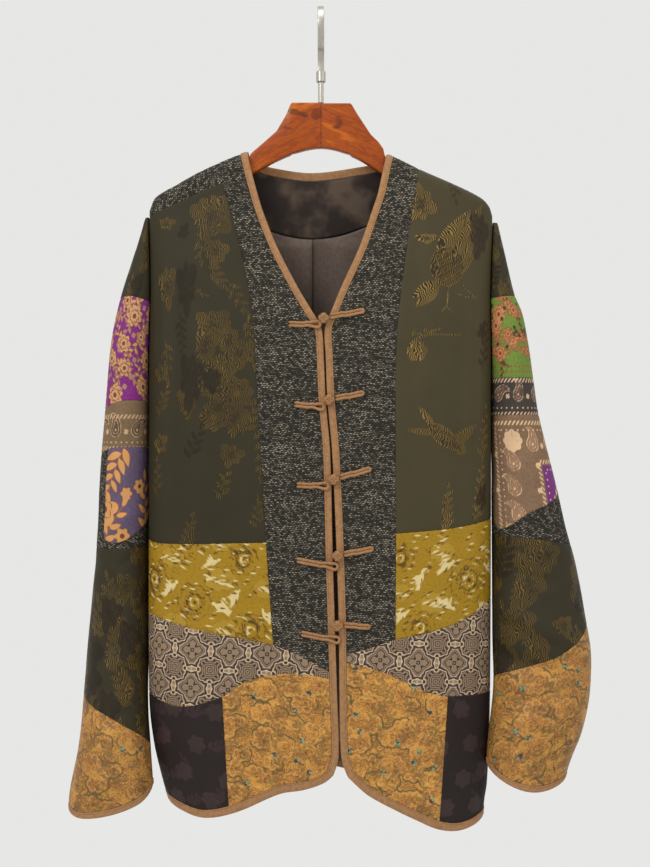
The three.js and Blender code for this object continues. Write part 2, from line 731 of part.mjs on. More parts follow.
/** Edges of one front, from its shoulder to its hem, and its panels. */
function buildFront(side) {
  const left = side < 0;
  const word = left ? 'left' : 'right';
  const pick = (name) => curves[name + (left ? 'Left' : 'Right')];
  const armhole = ARMHOLE[word];
  const sideRows = left ? SIDE_ROWS_LEFT : SIDE_ROWS_RIGHT;
  const band = pick('band');
  const open = pick('open');
  const tipRows = RIDGE_STOPS.length - 1;
  const outerRows = armhole.stops.length - 1 + sideRows + (left ? 0 : tipRows);
  const panel = (name, finish, top, bottom, inner, outer) => {
    // "inner" is the edge nearer the opening and "outer" the one nearer the side
    const edges = { top, bottom, left: outer, right: inner };
    bodyPanel(`front_${word}_${name}`, finish, 'front', edges);
  };

  // Band seam from the shoulder to the foot of the mustard panel
  const [, bandFootDown] = crossing(band, pick('mustard'));
  const [, greenFootDown] = crossing(band, pick('green'));
  const yokeRows = tipRows + 1;
  let bandEdge;
  let outerSide;
  if (left) {
    const yokeCorner = crossing(band, curves.yokeLeft);
    const toYoke = alongFromRidge(band, yokeCorner[1], yokeRows);
    bandEdge = join(toYoke, alongUpright(band, yokeCorner[1], greenFootDown, outerRows));
    outerSide = sideEdge(armhole, 'front', atSide(side, curves.greenLeft), sideRows, false);
  } else {
    bandEdge = alongFromRidge(band, greenFootDown, outerRows);
    outerSide = sideEdge(armhole, 'front', atSide(side, curves.greenRight), sideRows, true);
  }
  const bandMustard = alongUpright(band, greenFootDown, bandFootDown, MUSTARD_ROWS);
  const bandWhole = join(bandEdge, bandMustard);

  // Green panel, with the tweed yoke strip above it on the left
  const greenInner = left ? bandEdge.slice(yokeRows) : bandEdge;
  const greenFoot = alongLevel(pick('green'), outerSide.at(-1), greenInner.at(-1), SIDE_COLUMNS);
  let greenTop;
  if (left) {
    greenTop = alongLevel(curves.yokeLeft, outerSide[0], greenInner[0], SIDE_COLUMNS);
    const ridgeLine = greenTop.map((_, j) => [mix(side, bandEdge[0][0], j / SIDE_COLUMNS), 0]);
    const tipEdge = Array.from({ length: yokeRows }, (_, i) => [side, outerSide[0][1] * i / yokeRows]);
    tipEdge.push(outerSide[0]);
    panel('yoke_tweed', 'tweed', ridgeLine, greenTop, bandEdge.slice(0, yokeRows + 1), tipEdge);
  } else {
    greenTop = greenFoot.map((_, j) => [mix(side, bandEdge[0][0], j / SIDE_COLUMNS), 0]);
  }
  panel('green', 'green', greenTop, greenFoot, greenInner, outerSide);

  // Mustard panel
  const mustardSide = atSide(side, pick('mustard'));
  const greenSide = atSide(side, pick('green'));
  const mustardOuter = sideSeam(side, greenSide, mustardSide, MUSTARD_ROWS);
  const mustardFoot = alongLevel(pick('mustard'), mustardOuter.at(-1), bandWhole.at(-1), SIDE_COLUMNS);
  panel('mustard', 'mustard', greenFoot, mustardFoot, bandMustard, mustardOuter);

  // Tweed band beside the opening
  const [, tweedFootDown] = crossing(open, pick('tweed'));
  const openTweed = alongFromRidge(open, tweedFootDown, bandWhole.length - 1);
  const bandTop = Array.from({ length: BAND_COLUMNS + 1 }, (_, j) => (
    [mix(bandWhole[0][0], openTweed[0][0], j / BAND_COLUMNS), 0]));
  const tweedFoot = alongLevel(pick('tweed'), bandWhole.at(-1), openTweed.at(-1), BAND_COLUMNS);
  panel('band_tweed', 'tweed', bandTop, tweedFoot, openTweed, bandWhole);

  // Taupe panel across the whole front
  const [, taupeFootDown] = crossing(open, pick('taupe'));
  const seamTop = crossing(pick('hemSeam'), pick('taupe'));
  const seamFoot = crossing(pick('hemSeam'), pick('hem'));
  const taupeSide = atSide(side, pick('taupe'));
  const taupeOuter = sideSeam(side, mustardSide, taupeSide, TAUPE_ROWS);
  const taupeInner = alongUpright(open, tweedFootDown, taupeFootDown, TAUPE_ROWS);
  const darkColumns = left ? SIDE_COLUMNS - 1 : SIDE_COLUMNS - 3;
  const goldColumns = SIDE_COLUMNS + BAND_COLUMNS - darkColumns;
  const darkTop = alongLevel(pick('taupe'), taupeOuter.at(-1), onBody(...seamTop), darkColumns);
  const goldTop = alongLevel(pick('taupe'), onBody(...seamTop), taupeInner.at(-1), goldColumns);
  panel('taupe', 'taupe', join(mustardFoot, tweedFoot), join(darkTop, goldTop), taupeInner, taupeOuter);

  // Dark panel and gold panel down to the hem
  const hemSide = atSide(side, pick('hem'));
  const corner = left ? OPENING_LEFT.at(-1) : OPENING_RIGHT.at(-1);
  const darkOuter = sideSeam(side, taupeSide, hemSide, HEM_ROWS);
  const hemSeam = alongUpright(pick('hemSeam'), seamTop[1], seamFoot[1], HEM_ROWS);
  const goldInner = alongUpright(open, taupeFootDown, corner.down, HEM_ROWS);
  const darkFoot = alongLevel(pick('hem'), darkOuter.at(-1), hemSeam.at(-1), darkColumns);
  const goldFoot = alongLevel(pick('hem'), hemSeam.at(-1), goldInner.at(-1), goldColumns);
  panel('hem_dark', 'dark', darkTop, darkFoot, hemSeam, darkOuter);
  panel('hem_gold', 'gold', goldTop, goldFoot, goldInner, hemSeam);

  // Binding from the shoulder down the opening and along the hem to the side seam
  const edge = join(join(join(openTweed, taupeInner), goldInner), join(darkFoot, goldFoot).reverse());
  bindEdge(`binding_front_${word}`, 'front', edge, side);
  return { green: greenSide, mustard: mustardSide, taupe: taupeSide, hem: hemSide };
}

/** A strip of binding outside an edge: the edge's own points, moved out by the width. */
function bindEdge(name, side, edge, towards) {
  const seen = edge.map(seenAt);
  const outer = seen.map(([x, down], i) => {
    const [x0, down0] = seen[Math.max(i - 1, 0)];
    const [x1, down1] = seen[Math.min(i + 1, seen.length - 1)];
    const length = Math.hypot(x1 - x0, down1 - down0);
    // the outside lies to one side of the way along the edge
    const outX = towards * (down0 - down1) / length;
    const outDown = towards * (x1 - x0) / length;
    if (edge[i][1] < 1e-6) return [onBody(x + Math.sign(outX) * BINDING_WIDTH, down)[0], 0];
    if (i === seen.length - 1 || i === 0) return onBody(x, down + BINDING_WIDTH * Math.sign(outDown));
    return onBody(x + outX * BINDING_WIDTH, down + outDown * BINDING_WIDTH);
  });
  const middle = edge.map(([turn, run], i) => [(turn + outer[i][0]) / 2, (run + outer[i][1]) / 2]);
  const grid = [edge, middle, outer];
  const lift = (inset) => grid.map((row) => row.map(([turn, run]) => bodyPoint(side, turn, run, inset)));
  addSolid(name, wallTriangles(lift(-BINDING_PROUD), lift(CLOTH + BINDING_PROUD / 2)), 'binding');
}

/** The back: one wide panel above and three level bands below, meeting the fronts' seams. */
function buildBack(leftStops, rightStops) {
  const stations = (key) => [leftStops[key], rightStops[key]];
  const levelAcross = (key) => {
    // a level line from side to side that dips a little in the middle
    const [atLeft, atRight] = stations(key);
    return (x) => mix(atLeft, atRight, (x + SHOULDER_HALF) / (2 * SHOULDER_HALF))
      + 12 * Math.cos(Math.PI * x / (2 * SHOULDER_HALF));
  };
  const whole = [];
  const panel = (name, finish, top, bottom, left, right) => {
    whole.push(...fillPatch(top, bottom, left, right).slice(whole.length ? 1 : 0));
    bodyPanel(name, finish, 'back', { top, bottom, left, right });
  };
  const across = (downAt, left, right) => alongLevel(downAt, left, right, top.length - 1);
  const leftEdge = sideEdge(ARMHOLE.left, 'back', leftStops.green, SIDE_ROWS_LEFT, true);
  const rightEdge = sideEdge(ARMHOLE.right, 'back', rightStops.green, SIDE_ROWS_RIGHT, true);
  const toTurn = (x) => Math.asin(x / SHOULDER_HALF) / (Math.PI / 2);
  const neckLeft = toTurn(NECK_BACK[0].x + 1.5);
  const neckRight = toTurn(NECK_BACK.at(-1).x);
  const shoulderColumns = 4;
  const neckColumns = NECK_STOPS.length + 1;
  const top = [];
  for (let j = 0; j <= shoulderColumns; j += 1) top.push([mix(-1, neckLeft, j / shoulderColumns), 0]);
  for (const stop of NECK_STOPS) {
    const x = SHOULDER_HALF * Math.sin(mix(neckLeft, neckRight, stop) * Math.PI / 2);
    top.push(onBody(x, curves.neckBack(x)));
  }
  for (let j = 0; j <= shoulderColumns; j += 1) top.push([mix(neckRight, 1, j / shoulderColumns), 0]);

  const greenFoot = across(levelAcross('green'), leftEdge.at(-1), rightEdge.at(-1));
  panel('back_green', 'green', top, greenFoot, leftEdge, rightEdge);
  const bands = [
    { name: 'back_mustard', finish: 'mustard', from: 'green', to: 'mustard', rows: MUSTARD_ROWS },
    { name: 'back_taupe', finish: 'taupe', from: 'mustard', to: 'taupe', rows: TAUPE_ROWS },
    { name: 'back_hem_dark', finish: 'dark', from: 'taupe', to: 'hem', rows: HEM_ROWS },
  ];
  let above = greenFoot;
  for (const band of bands) {
    const left = sideSeam(-1, leftStops[band.from], leftStops[band.to], band.rows);
    const right = sideSeam(1, rightStops[band.from], rightStops[band.to], band.rows);
    const foot = band.to === 'hem' ? curves.hemBack : levelAcross(band.to);
    const below = across(foot, left.at(-1), right.at(-1));
    panel(band.name, band.finish, above, below, left, right);
    above = below;
  }
  bindEdge('binding_back_hem', 'back', above, 1);
  const neck = top.slice(shoulderColumns, shoulderColumns + neckColumns + 1);
  bindEdge('binding_back_neck', 'back', neck, -1);

  // Neck facing and back lining lie inside the panels, on the panels' own points
  const facingRows = 6;
  const facing = whole.slice(0, facingRows + 1)
    .map((row) => row.slice(shoulderColumns + 1, shoulderColumns + neckColumns));
  const lining = whole.slice(facingRows, whole.length - HEM_ROWS + 2).map((row) => row.slice(2, -2));
  layInside('facing_back_neck', 'facing', facing);
  layInside('lining_back', 'lining', lining);
}

/** A thin layer inside the back panels, given as a grid of turns and runs. */
function layInside(name, finish, grid) {
  const inset = CLOTH + LAYER_GAP;
  const lift = (depth) => grid.map((row) => row.map(([turn, run]) => bodyPoint('back', turn, run, depth)));
  addSolid(name, wallTriangles(lift(inset), lift(inset + LINING)), finish);
}

/** A sleeve's shell: level sections of an ellipse, open along the armhole. */
function makeSleeve(word) {
  const left = word === 'left';
  const armhole = ARMHOLE[word];
  const rows = left ? SLEEVE_LEFT : SLEEVE_RIGHT;
  const folds = left ? SLEEVE_FOLDS_LEFT : SLEEVE_FOLDS_RIGHT;
  const outerAt = through(rows, 'down', 'outer');
  const innerAt = through(rows, 'down', 'inner');
  const depthAt = through(rows, 'down', 'depth');
  const middleAt = through(rows, 'down', 'middle');
  const edgeX = (down) => {
    // the armhole's edge on the body, drawn out by one seam gap
    const [turn, run] = armholeEdge(armhole, 'front', down);
    return bodyPoint('front', turn, run).x + armhole.side * SEAM_GAP * 1.6;
  };
  return (place, down, inset = 0) => {
    const wrapped = place > 1 ? place - 2 : place;
    const half = armholeHalf(armhole, down);
    const depth = depthAt(down);
    const open = Math.sqrt(Math.max(1 - (half / depth) ** 2, 0));
    const inner = half > 0 ? edgeX(down) : innerAt(down);
    const width = Math.abs(outerAt(down) - inner) / (1 + (half > 0 ? open : 1));
    const reach = half > 0 ? Math.PI - Math.asin(Math.min(half / depth, 1)) : Math.PI;
    let fold = 0;
    for (const row of folds) {
      const across = (down - row.down - row.lean * (wrapped - row.turn)) / row.width;
      fold += row.out * bell(across) * bell((wrapped - row.turn) / row.span);
    }
    const angle = wrapped * reach;
    const x = outerAt(down) - armhole.side * width
      + armhole.side * (width - inset + fold * 0.3) * Math.cos(angle);
    const y = middleAt(down) - (depth - inset + fold) * Math.sin(angle);
    return new THREE.Vector3(x, y, -down);
  };
}

/** All panels of one sleeve. */
function buildSleeve(word) {
  const left = word === 'left';
  const armhole = ARMHOLE[word];
  const at = makeSleeve(word);
  const count = SLEEVE_COLUMNS;
  const ring = (downAt, from = -1, to = 1, columns = count) => (
    Array.from({ length: columns + 1 }, (_, j) => {
      const place = mix(from, to, j / columns);
      return [place, downAt(place > 1 ? place - 2 : place)];
    }));
  const seam = (table) => through(table, 'turn', 'down');
  const panel = (name, finish, edges, closed = false, proud = 0, extra = 0) => {
    const grid = fillPatch(edges.top, edges.bottom, edges.left, edges.right);
    const lift = (inset) => grid.map((row) => row.map(([place, down]) => at(place, down, inset)));
    const triangles = wallTriangles(lift(-proud), lift(CLOTH + extra), closed);
    addSolid(`sleeve_${word}_${name}`, triangles, finish);
  };
  const straight = (from, to, rows) => Array.from({ length: rows + 1 }, (_, i) => (
    [mix(from[0], to[0], i / rows), mix(from[1], to[1], i / rows)]));
  const between = (top, bottom, rows) => ({
    top,
    bottom,
    left: straight(top[0], bottom[0], rows),
    right: straight(top.at(-1), bottom.at(-1), rows),
  });

  const cap = ring(seam(left ? CAP_FOOT_LEFT : CAP_FOOT_RIGHT));
  const upper = ring(seam(left ? UPPER_PRINT_FOOT_LEFT : UPPER_PRINT_FOOT_RIGHT));
  const band = ring(seam(left ? BAND_FOOT_LEFT : BAND_FOOT_RIGHT));
  const elbow = ring(seam(left ? ELBOW_SEAM_LEFT : ELBOW_SEAM_RIGHT));
  const cuffTop = ring(seam(left ? CUFF_SEAM_LEFT : CUFF_SEAM_RIGHT));
  const cuffFoot = ring(seam(left ? CUFF_FOOT_LEFT : CUFF_FOOT_RIGHT));
  const crown = ring(() => armhole.top);
  panel('cap_green', 'green', between(crown, cap, 4));
  if (left) {
    panel('upper_print', 'violet', between(cap, upper, 4));
    panel('band_paisley', 'paisley', between(upper, band, 2), true);
  } else {
    panel('upper_print', 'leaf', between(cap, upper, 3));
    panel('band_paisley', 'paisley', between(upper, band, 2));
  }

  // Pointed print patch on the front of the forearm, with tweed round the rest
  const step = 2 / count;
  const printFrom = left ? 2 * step : -2 * step;
  const printColumns = left ? 7 : 12;
  const printTo = printFrom + printColumns * step;
  const bandAt = seam(left ? BAND_FOOT_LEFT : BAND_FOOT_RIGHT);
  const elbowAt = seam(left ? ELBOW_SEAM_LEFT : ELBOW_SEAM_RIGHT);
  const printAt = through(left ? LOWER_PRINT_FOOT_LEFT : LOWER_PRINT_FOOT_RIGHT, 'turn', 'down');
  const printTop = ring(bandAt, printFrom, printTo, printColumns);
  const printFoot = printTop.map(([place]) => [place, printAt(place)]);
  printFoot[printColumns] = printTop[printColumns];
  panel('lower_print', left ? 'violet' : 'paisley', between(printTop, printFoot, 4));
  const tweedTop = join(printFoot, ring(bandAt, printTo, printFrom + 2, count - printColumns));
  const tweedFoot = ring(elbowAt, printFrom, printFrom + 2);
  panel('tweed', 'tweed', between(tweedTop, tweedFoot, 4));

  panel('lower_green', 'green', between(elbow, cuffTop, 7), true);
  panel('cuff_gold', 'gold', between(cuffTop, cuffFoot, 4), true);
  const lowered = cuffFoot.map(([place, down]) => [place, down + CUFF_BINDING]);
  panel('cuff_binding', 'binding', between(cuffFoot, lowered, 1), true, BINDING_PROUD, BINDING_PROUD / 2);
}

/** A round cord along a line of points, with flat ends. */
function addCord(name, points, diameter) {
  const sides = 6;
  const outline = new THREE.Shape(Array.from({ length: sides }, (_, i) => new THREE.Vector2(
    diameter / 2 * Math.cos(2 * Math.PI * i / sides),
    diameter / 2 * Math.sin(2 * Math.PI * i / sides),
  )));
  const path = new THREE.CatmullRomCurve3(points, false, 'centripetal');
  const options = { steps: Math.max(8, Math.round(path.getLength() / 5)), extrudePath: path };
  const geometry = new THREE.ExtrudeGeometry(outline, options);
  const mesh = new THREE.Mesh(geometry, new THREE.MeshStandardMaterial(FINISH.binding));
  mesh.name = name;
  jacket.add(mesh);
}

/** One frog: a looped arm on the left front, and an arm with its knot on the right front. */
function buildFrog(index, frog) {
  const lay = (x, down, lift) => {
    const [turn, run] = onBody(x, down);
    return bodyPoint('front', turn, run, -(lift + CORD / 2));
  };
  const flat = SEAM_GAP + 0.3; // over the plain cloth
  const raised = BINDING_PROUD + SEAM_GAP + 0.5; // over the binding
  const apart = CORD / 2 + 0.25;
  const arm = (x0, down0, x1, down1, x2, spread) => {
    // out along the upper strand, round the end and back along the lower one
    const slope = (down1 - down0) / (x1 - x0);
    const upper = [];
    const lower = [];
    for (const t of [0, 0.25, 0.5, 0.75, 1]) {
      const x = mix(x0, x1, t);
      const down = down0 + slope * (x - x0);
      const nearOpening = Math.abs(x - x1) < 14 ? raised : flat;
      const gap = apart + spread * t * t;
      upper.push(lay(x, down - gap, nearOpening));
      lower.push(lay(x, down + gap, nearOpening));
    }
    const tip = lay(x0 + x2 * (CORD * 0.55), down0, flat);
    return [...upper.reverse(), tip, ...lower];
  };
  const number = index + 1;
  addCord(`frog_${number}_loop`, arm(frog.loopX, frog.loopDown, frog.eyeX, frog.eyeDown, -1, 0), CORD);
  const knotRoot = frog.knotX + KNOT / 2 + SEAM_GAP;
  const rootDown = mix(frog.knotDown, frog.armDown, 0.12);
  addCord(`frog_${number}_arm`, arm(frog.armX, frog.armDown, knotRoot, rootDown, 1, 0), CORD);

  const profile = Array.from({ length: 7 }, (_, i) => {
    const angle = Math.PI * (i / 6 - 0.5);
    return new THREE.Vector2(Math.max(KNOT / 2 * Math.cos(angle), 0), KNOT_DEPTH / 2 * Math.sin(angle));
  });
  const knot = new THREE.Mesh(new THREE.LatheGeometry(profile, 10), new THREE.MeshStandardMaterial(FINISH.binding));
  knot.name = `frog_${number}_knot`;
  const seated = BINDING_PROUD + SEAM_GAP + KNOT_DEPTH / 2;
  knot.position.copy(lay(frog.knotX, frog.knotDown, seated - CORD / 2));
  jacket.add(knot);
}

/** Hanger: two wooden halves with a shaped neck, meeting at a joint in the middle. */
function buildHanger() {
  const underRidge = CLOTH + 2.2;
  const halves = [
    {
      name: 'hanger_left',
      side: -1,
      neck: [[33, 108.3], [35, 110], [40, 122.5], [51, 141], [66, 154.3], [80, 166.3], [83, 171], [90, 174.5]],
      arch: [[15, 161.5], [34, 167.5], [56, 177.5], [79, 190.5], [112, 206], [150, 224]],
    },
    {
      name: 'hanger_right',
      side: 1,
      neck: [[33.5, 109], [35.5, 110.7], [41.5, 121], [57, 144.6], [66, 153.5], [71.5, 161], [72.8, 168], [75.5, 173], [84, 175.5]],
      arch: [[15, 161.5], [32, 167.5], [50, 177], [68, 188.6], [108, 207], [150, 227]],
    },
  ];
  const armEnd = 176;
  for (const half of halves) {
    const top = half.neck.map(([x, down]) => [x * half.side, down]);
    for (const x of [100, 120, 139, 160, armEnd - 6]) {
      top.push([x * half.side, ridgeAt(x * half.side) + underRidge]);
    }
    const endDown = ridgeAt(armEnd * half.side);
    const tip = [[armEnd * half.side, endDown + 8], [(armEnd - 1) * half.side, endDown + 16]];
    tip.push([(armEnd - 8) * half.side, endDown + 20]);
    const under = half.arch.map(([x, down]) => [x * half.side, down]).reverse();
    const start = [[SEAM_GAP / 2 * half.side, half.neck[0][1]]];
    const close = [[SEAM_GAP / 2 * half.side, 160]];
    const outline = new THREE.Shape([...start, ...top, ...tip, ...under, ...close].map(([x, down]) => (
      new THREE.Vector2(x, -down))));
    const bevel = 2;
    const geometry = new THREE.ExtrudeGeometry(outline, {
      depth: HANGER_THICK - 2 * bevel,
      bevelEnabled: true,
      bevelThickness: bevel,
      bevelSize: bevel,
      bevelOffset: -bevel,
      bevelSegments: 1,
      curveSegments: 1,
    });
    geometry.rotateX(Math.PI / 2);
    geometry.translate(0, HANGER_THICK / 2 - bevel, 0);
    const mesh = new THREE.Mesh(geometry, new THREE.MeshStandardMaterial(FINISH.wood));
    mesh.name = half.name;
    jacket.add(mesh);
  }
}

/** Hook: a flat steel strip bent over the rail, front first, with a ferrule and a stem. */
function buildHook() {
  const middle = HOOK_INNER + HOOK_THICK / 2;
  const line = [];
  // from the stem forward and up round the front, over the top and down behind
  line.push([0, -78], [0, -64], [-1.5, -57], [-7, -50.5], [-13, -45]);
  for (let degrees = 212; degrees >= -38; degrees -= 12.5) {
    const angle = degrees * Math.PI / 180;
    line.push([middle * Math.cos(angle), -HOOK_INNER + middle * Math.sin(angle)]);
  }
  line.push([middle * Math.cos(-0.9) + 3.5, -HOOK_INNER + middle * Math.sin(-0.9) - 1]);
  const sideOf = (sign) => line.map(([y, z], i) => {
    const [y0, z0] = line[Math.max(i - 1, 0)];
    const [y1, z1] = line[Math.min(i + 1, line.length - 1)];
    const length = Math.hypot(y1 - y0, z1 - z0);
    return [y - sign * (z1 - z0) / length * HOOK_THICK / 2, z + sign * (y1 - y0) / length * HOOK_THICK / 2];
  });
  const outline = new THREE.Shape([...sideOf(1), ...sideOf(-1).reverse()].map(([y, z]) => new THREE.Vector2(y, z)));
  const strip = new THREE.ExtrudeGeometry(outline, { depth: HOOK_WIDTH, bevelEnabled: false });
  // the outline's plane is turned to Y and Z, and its depth to X
  strip.applyMatrix4(new THREE.Matrix4().set(0, 0, 1, -HOOK_WIDTH / 2, 1, 0, 0, 0, 0, 1, 0, 0, 0, 0, 0, 1));
  const steel = () => new THREE.MeshStandardMaterial(FINISH.steel);
  const hook = new THREE.Mesh(strip, steel());
  hook.name = 'hook';
  jacket.add(hook);

  const ferruleInner = Math.hypot(HOOK_WIDTH, HOOK_THICK) / 2 + SEAM_GAP;
  const ferruleOuter = ferruleInner + 1.2;
  const ferruleTop = -72;
  const ferruleFoot = -84;
  const ringProfile = [
    [ferruleInner, ferruleFoot],
    [ferruleOuter, ferruleFoot],
    [ferruleOuter, ferruleTop],
    [ferruleInner, ferruleTop],
    [ferruleInner, ferruleFoot],
  ].map(([r, z]) => new THREE.Vector2(r, z));
  const ferrule = new THREE.Mesh(new THREE.LatheGeometry(ringProfile, 20), steel());
  ferrule.name = 'hook_ferrule';
  ferrule.rotation.x = Math.PI / 2;
  jacket.add(ferrule);

  const stemTop = -78 - SEAM_GAP;
  const stemFoot = -108.3 + SEAM_GAP;
  const stem = new THREE.Mesh(new THREE.CylinderGeometry(3.2, 3.2, stemTop - stemFoot, 14), steel());
  stem.name = 'hook_stem';
  stem.rotation.x = Math.PI / 2;
  stem.position.z = (stemTop + stemFoot) / 2;
  jacket.add(stem);
}

const leftFront = buildFront(-1);
const rightFront = buildFront(1);
buildBack(leftFront, rightFront);
buildSleeve('left');
buildSleeve('right');
FROGS.forEach((frog, index) => buildFrog(index, frog));
buildHanger();
buildHook();

export default jacket;
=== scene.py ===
"""A collarless patchwork jacket with knotted frog closures, on a wooden hanger.

Laid out as a Blender add-on and run as a script. Shapes are worked out in millimetres, with Z up,
the jacket's front towards -Y and the origin at the inner top of the hook. "down" is the distance
below that origin. The meshes are in metres.
"""
import json
import math

import bmesh
import bpy
import numpy as np
from bpy.props import FloatProperty, FloatVectorProperty, PointerProperty
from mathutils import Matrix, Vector


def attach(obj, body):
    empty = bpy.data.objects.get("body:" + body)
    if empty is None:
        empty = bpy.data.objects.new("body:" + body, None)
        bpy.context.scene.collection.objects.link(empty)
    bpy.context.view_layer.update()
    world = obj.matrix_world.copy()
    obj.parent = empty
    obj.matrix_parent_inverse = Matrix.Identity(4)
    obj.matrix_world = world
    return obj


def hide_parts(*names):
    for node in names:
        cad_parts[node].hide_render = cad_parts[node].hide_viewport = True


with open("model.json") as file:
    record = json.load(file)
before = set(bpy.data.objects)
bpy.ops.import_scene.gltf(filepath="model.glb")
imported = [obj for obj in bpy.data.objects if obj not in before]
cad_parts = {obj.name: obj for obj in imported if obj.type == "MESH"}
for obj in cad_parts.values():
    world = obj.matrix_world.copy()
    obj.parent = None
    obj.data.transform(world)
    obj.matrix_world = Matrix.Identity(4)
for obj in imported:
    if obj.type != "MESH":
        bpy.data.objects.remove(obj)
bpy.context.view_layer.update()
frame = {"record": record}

bl_info = {
    "name": "Patchwork Jacket",
    "version": (1, 0, 0),
    "blender": (4, 5, 0),
    "location": "View3D > Sidebar > Jacket",
    "description": "Builds a patchwork jacket with frog closures on a wooden hanger",
    "category": "Object",
}

MM = 0.001
CLOTH = 1.6  # wall of a cut panel
LINING = 1.0  # wall of the lining and of the neck facing
LAYER_GAP = 0.4  # between a panel and the layer inside it
SEAM_GAP = 0.1  # between two panels at a seam
SHOULDER_HALF = 197
RIDGE_ROUND = 14
SIDE_POWER = 3
ARMHOLE_HALF = 16
PUCKER = 0.16  # height of the ripples at a seam
CAD_SEAM_GAP = 0.3  # between two solids
ARMHOLE_GAP = 0.35  # between a sleeve and its armhole
CUFF_BINDING = 7
HANGER_THICK = 12
HOOK_WIDTH = 7.5
HOOK_THICK = 3
HOOK_INNER = 22
PLEAT_AT = -10.0  # x of the lining's pleat
PLEAT_DEEP = 4.2
LINING_TOP = 258
FINE = 8  # points worked out on an edge for each step of the solids
QUARTER_TURN = RIDGE_ROUND * math.pi / 2
RIDGE_STOPS = np.array([0, 0.25, 0.55, 1])


RIDGE = [  # x, down
    (-197, 232), (-191, 218), (-165, 202), (-139, 187.5), (-87, 165.5), (-40, 157), (20, 157),
    (77, 168), (114, 185), (154, 202.5), (183, 217), (193, 227), (197, 238),
]
BODY = [  # down, left, right, front, back
    (150, 197, 197, 15, 14), (225, 197, 197, 27, 24), (300, 197, 196, 43, 38), (420, 197, 195, 57, 52),
    (600, 197, 194.5, 63, 58), (790, 196.5, 193.5, 63, 58), (841, 191, 192, 61, 56),
    (887, 180, 190, 58, 54), (907, 174, 187, 57, 53), (960, 165, 183, 55, 51),
]
# Folds of the solids, then finer creases: x, lean, top, foot, width, out
BODY_FOLDS = {
    "front": [
        (-168, 3, 255, 620, 11, -4.5), (-140, 9, 235, 560, 15, 3), (-104, 12, 330, 800, 17, -2.5),
        (-150, 14, 690, 960, 20, 5), (-78, 6, 660, 940, 24, -5), (-20, 0, 700, 930, 20, 4),
        (60, 4, 690, 940, 22, -4.5), (112, -5, 640, 970, 24, 5), (160, -2, 250, 640, 14, -5),
        (128, -8, 240, 520, 18, 3), (165, -4, 740, 970, 14, -3.5),
        (-186, 2, 250, 470, 5, -1.6), (-176, 5, 300, 520, 6, 1.1), (-132, 16, 240, 330, 6, -0.9),
        (-120, 22, 300, 470, 8, 1.0), (-96, 10, 430, 590, 9, -0.8), (-46, 9, 380, 560, 8, 0.7),
        (-168, -6, 612, 770, 7, -1.4), (-130, 8, 640, 800, 8, 1.1), (-34, -7, 620, 730, 9, -0.9),
        (-180, 12, 780, 930, 7, 1.5), (-126, -6, 800, 930, 9, -1.6), (-66, 10, 770, 900, 8, 1.2),
        (-28, -6, 770, 890, 7, -1.1), (52, 7, 300, 470, 8, 0.8), (70, -6, 480, 700, 9, -0.9),
        (104, 10, 215, 380, 8, -0.9), (148, -12, 250, 430, 7, -1.3), (176, -3, 300, 560, 5, -1.6),
        (136, 10, 560, 720, 8, 1.2), (96, -8, 620, 780, 8, -1.1), (174, -8, 640, 790, 6, 1.4),
        (48, 9, 760, 900, 8, 1.1), (88, -9, 780, 930, 9, -1.5), (124, 8, 800, 940, 7, 1.4),
        (176, -5, 780, 940, 6, -1.2),
    ],
    "back": [
        (-160, 6, 260, 700, 16, -5), (-118, 14, 240, 640, 20, 3.5), (-60, 10, 430, 940, 26, -5),
        (-5, 0, 520, 930, 24, 5), (52, -8, 400, 940, 24, -4.5), (108, -12, 260, 900, 22, 4),
        (158, -4, 250, 680, 15, -5), (-120, 8, 690, 960, 22, 5),
        (-178, 4, 260, 480, 6, -1.5), (-140, 14, 250, 400, 8, 1.0), (-84, 16, 300, 560, 10, -1.1),
        (-30, 8, 460, 700, 10, 1.0), (24, -8, 420, 640, 9, -1.0), (84, -14, 320, 560, 10, 1.1),
        (134, -12, 250, 420, 8, -1.2), (180, -4, 280, 500, 6, 1.3), (-150, 6, 620, 830, 9, 1.3),
        (-96, -8, 640, 860, 10, -1.4), (-34, 6, 720, 900, 9, 1.2), (34, 8, 700, 900, 9, -1.3),
        (90, -6, 640, 860, 10, 1.4), (146, 6, 660, 900, 9, -1.4),
    ],
}
HEM_BACK = [  # x, down
    (-180, 893), (-130, 903), (-60, 884), (5, 872), (70, 888), (140, 918), (190, 912),
]
NECK_BACK = [  # x, down
    (-93, 168), (-90.5, 172.5), (-86, 176.5), (-77, 181), (-58, 187), (-10, 193), (50, 185.5),
    (70, 181), (78, 178), (82, 175), (84.5, 171),
]
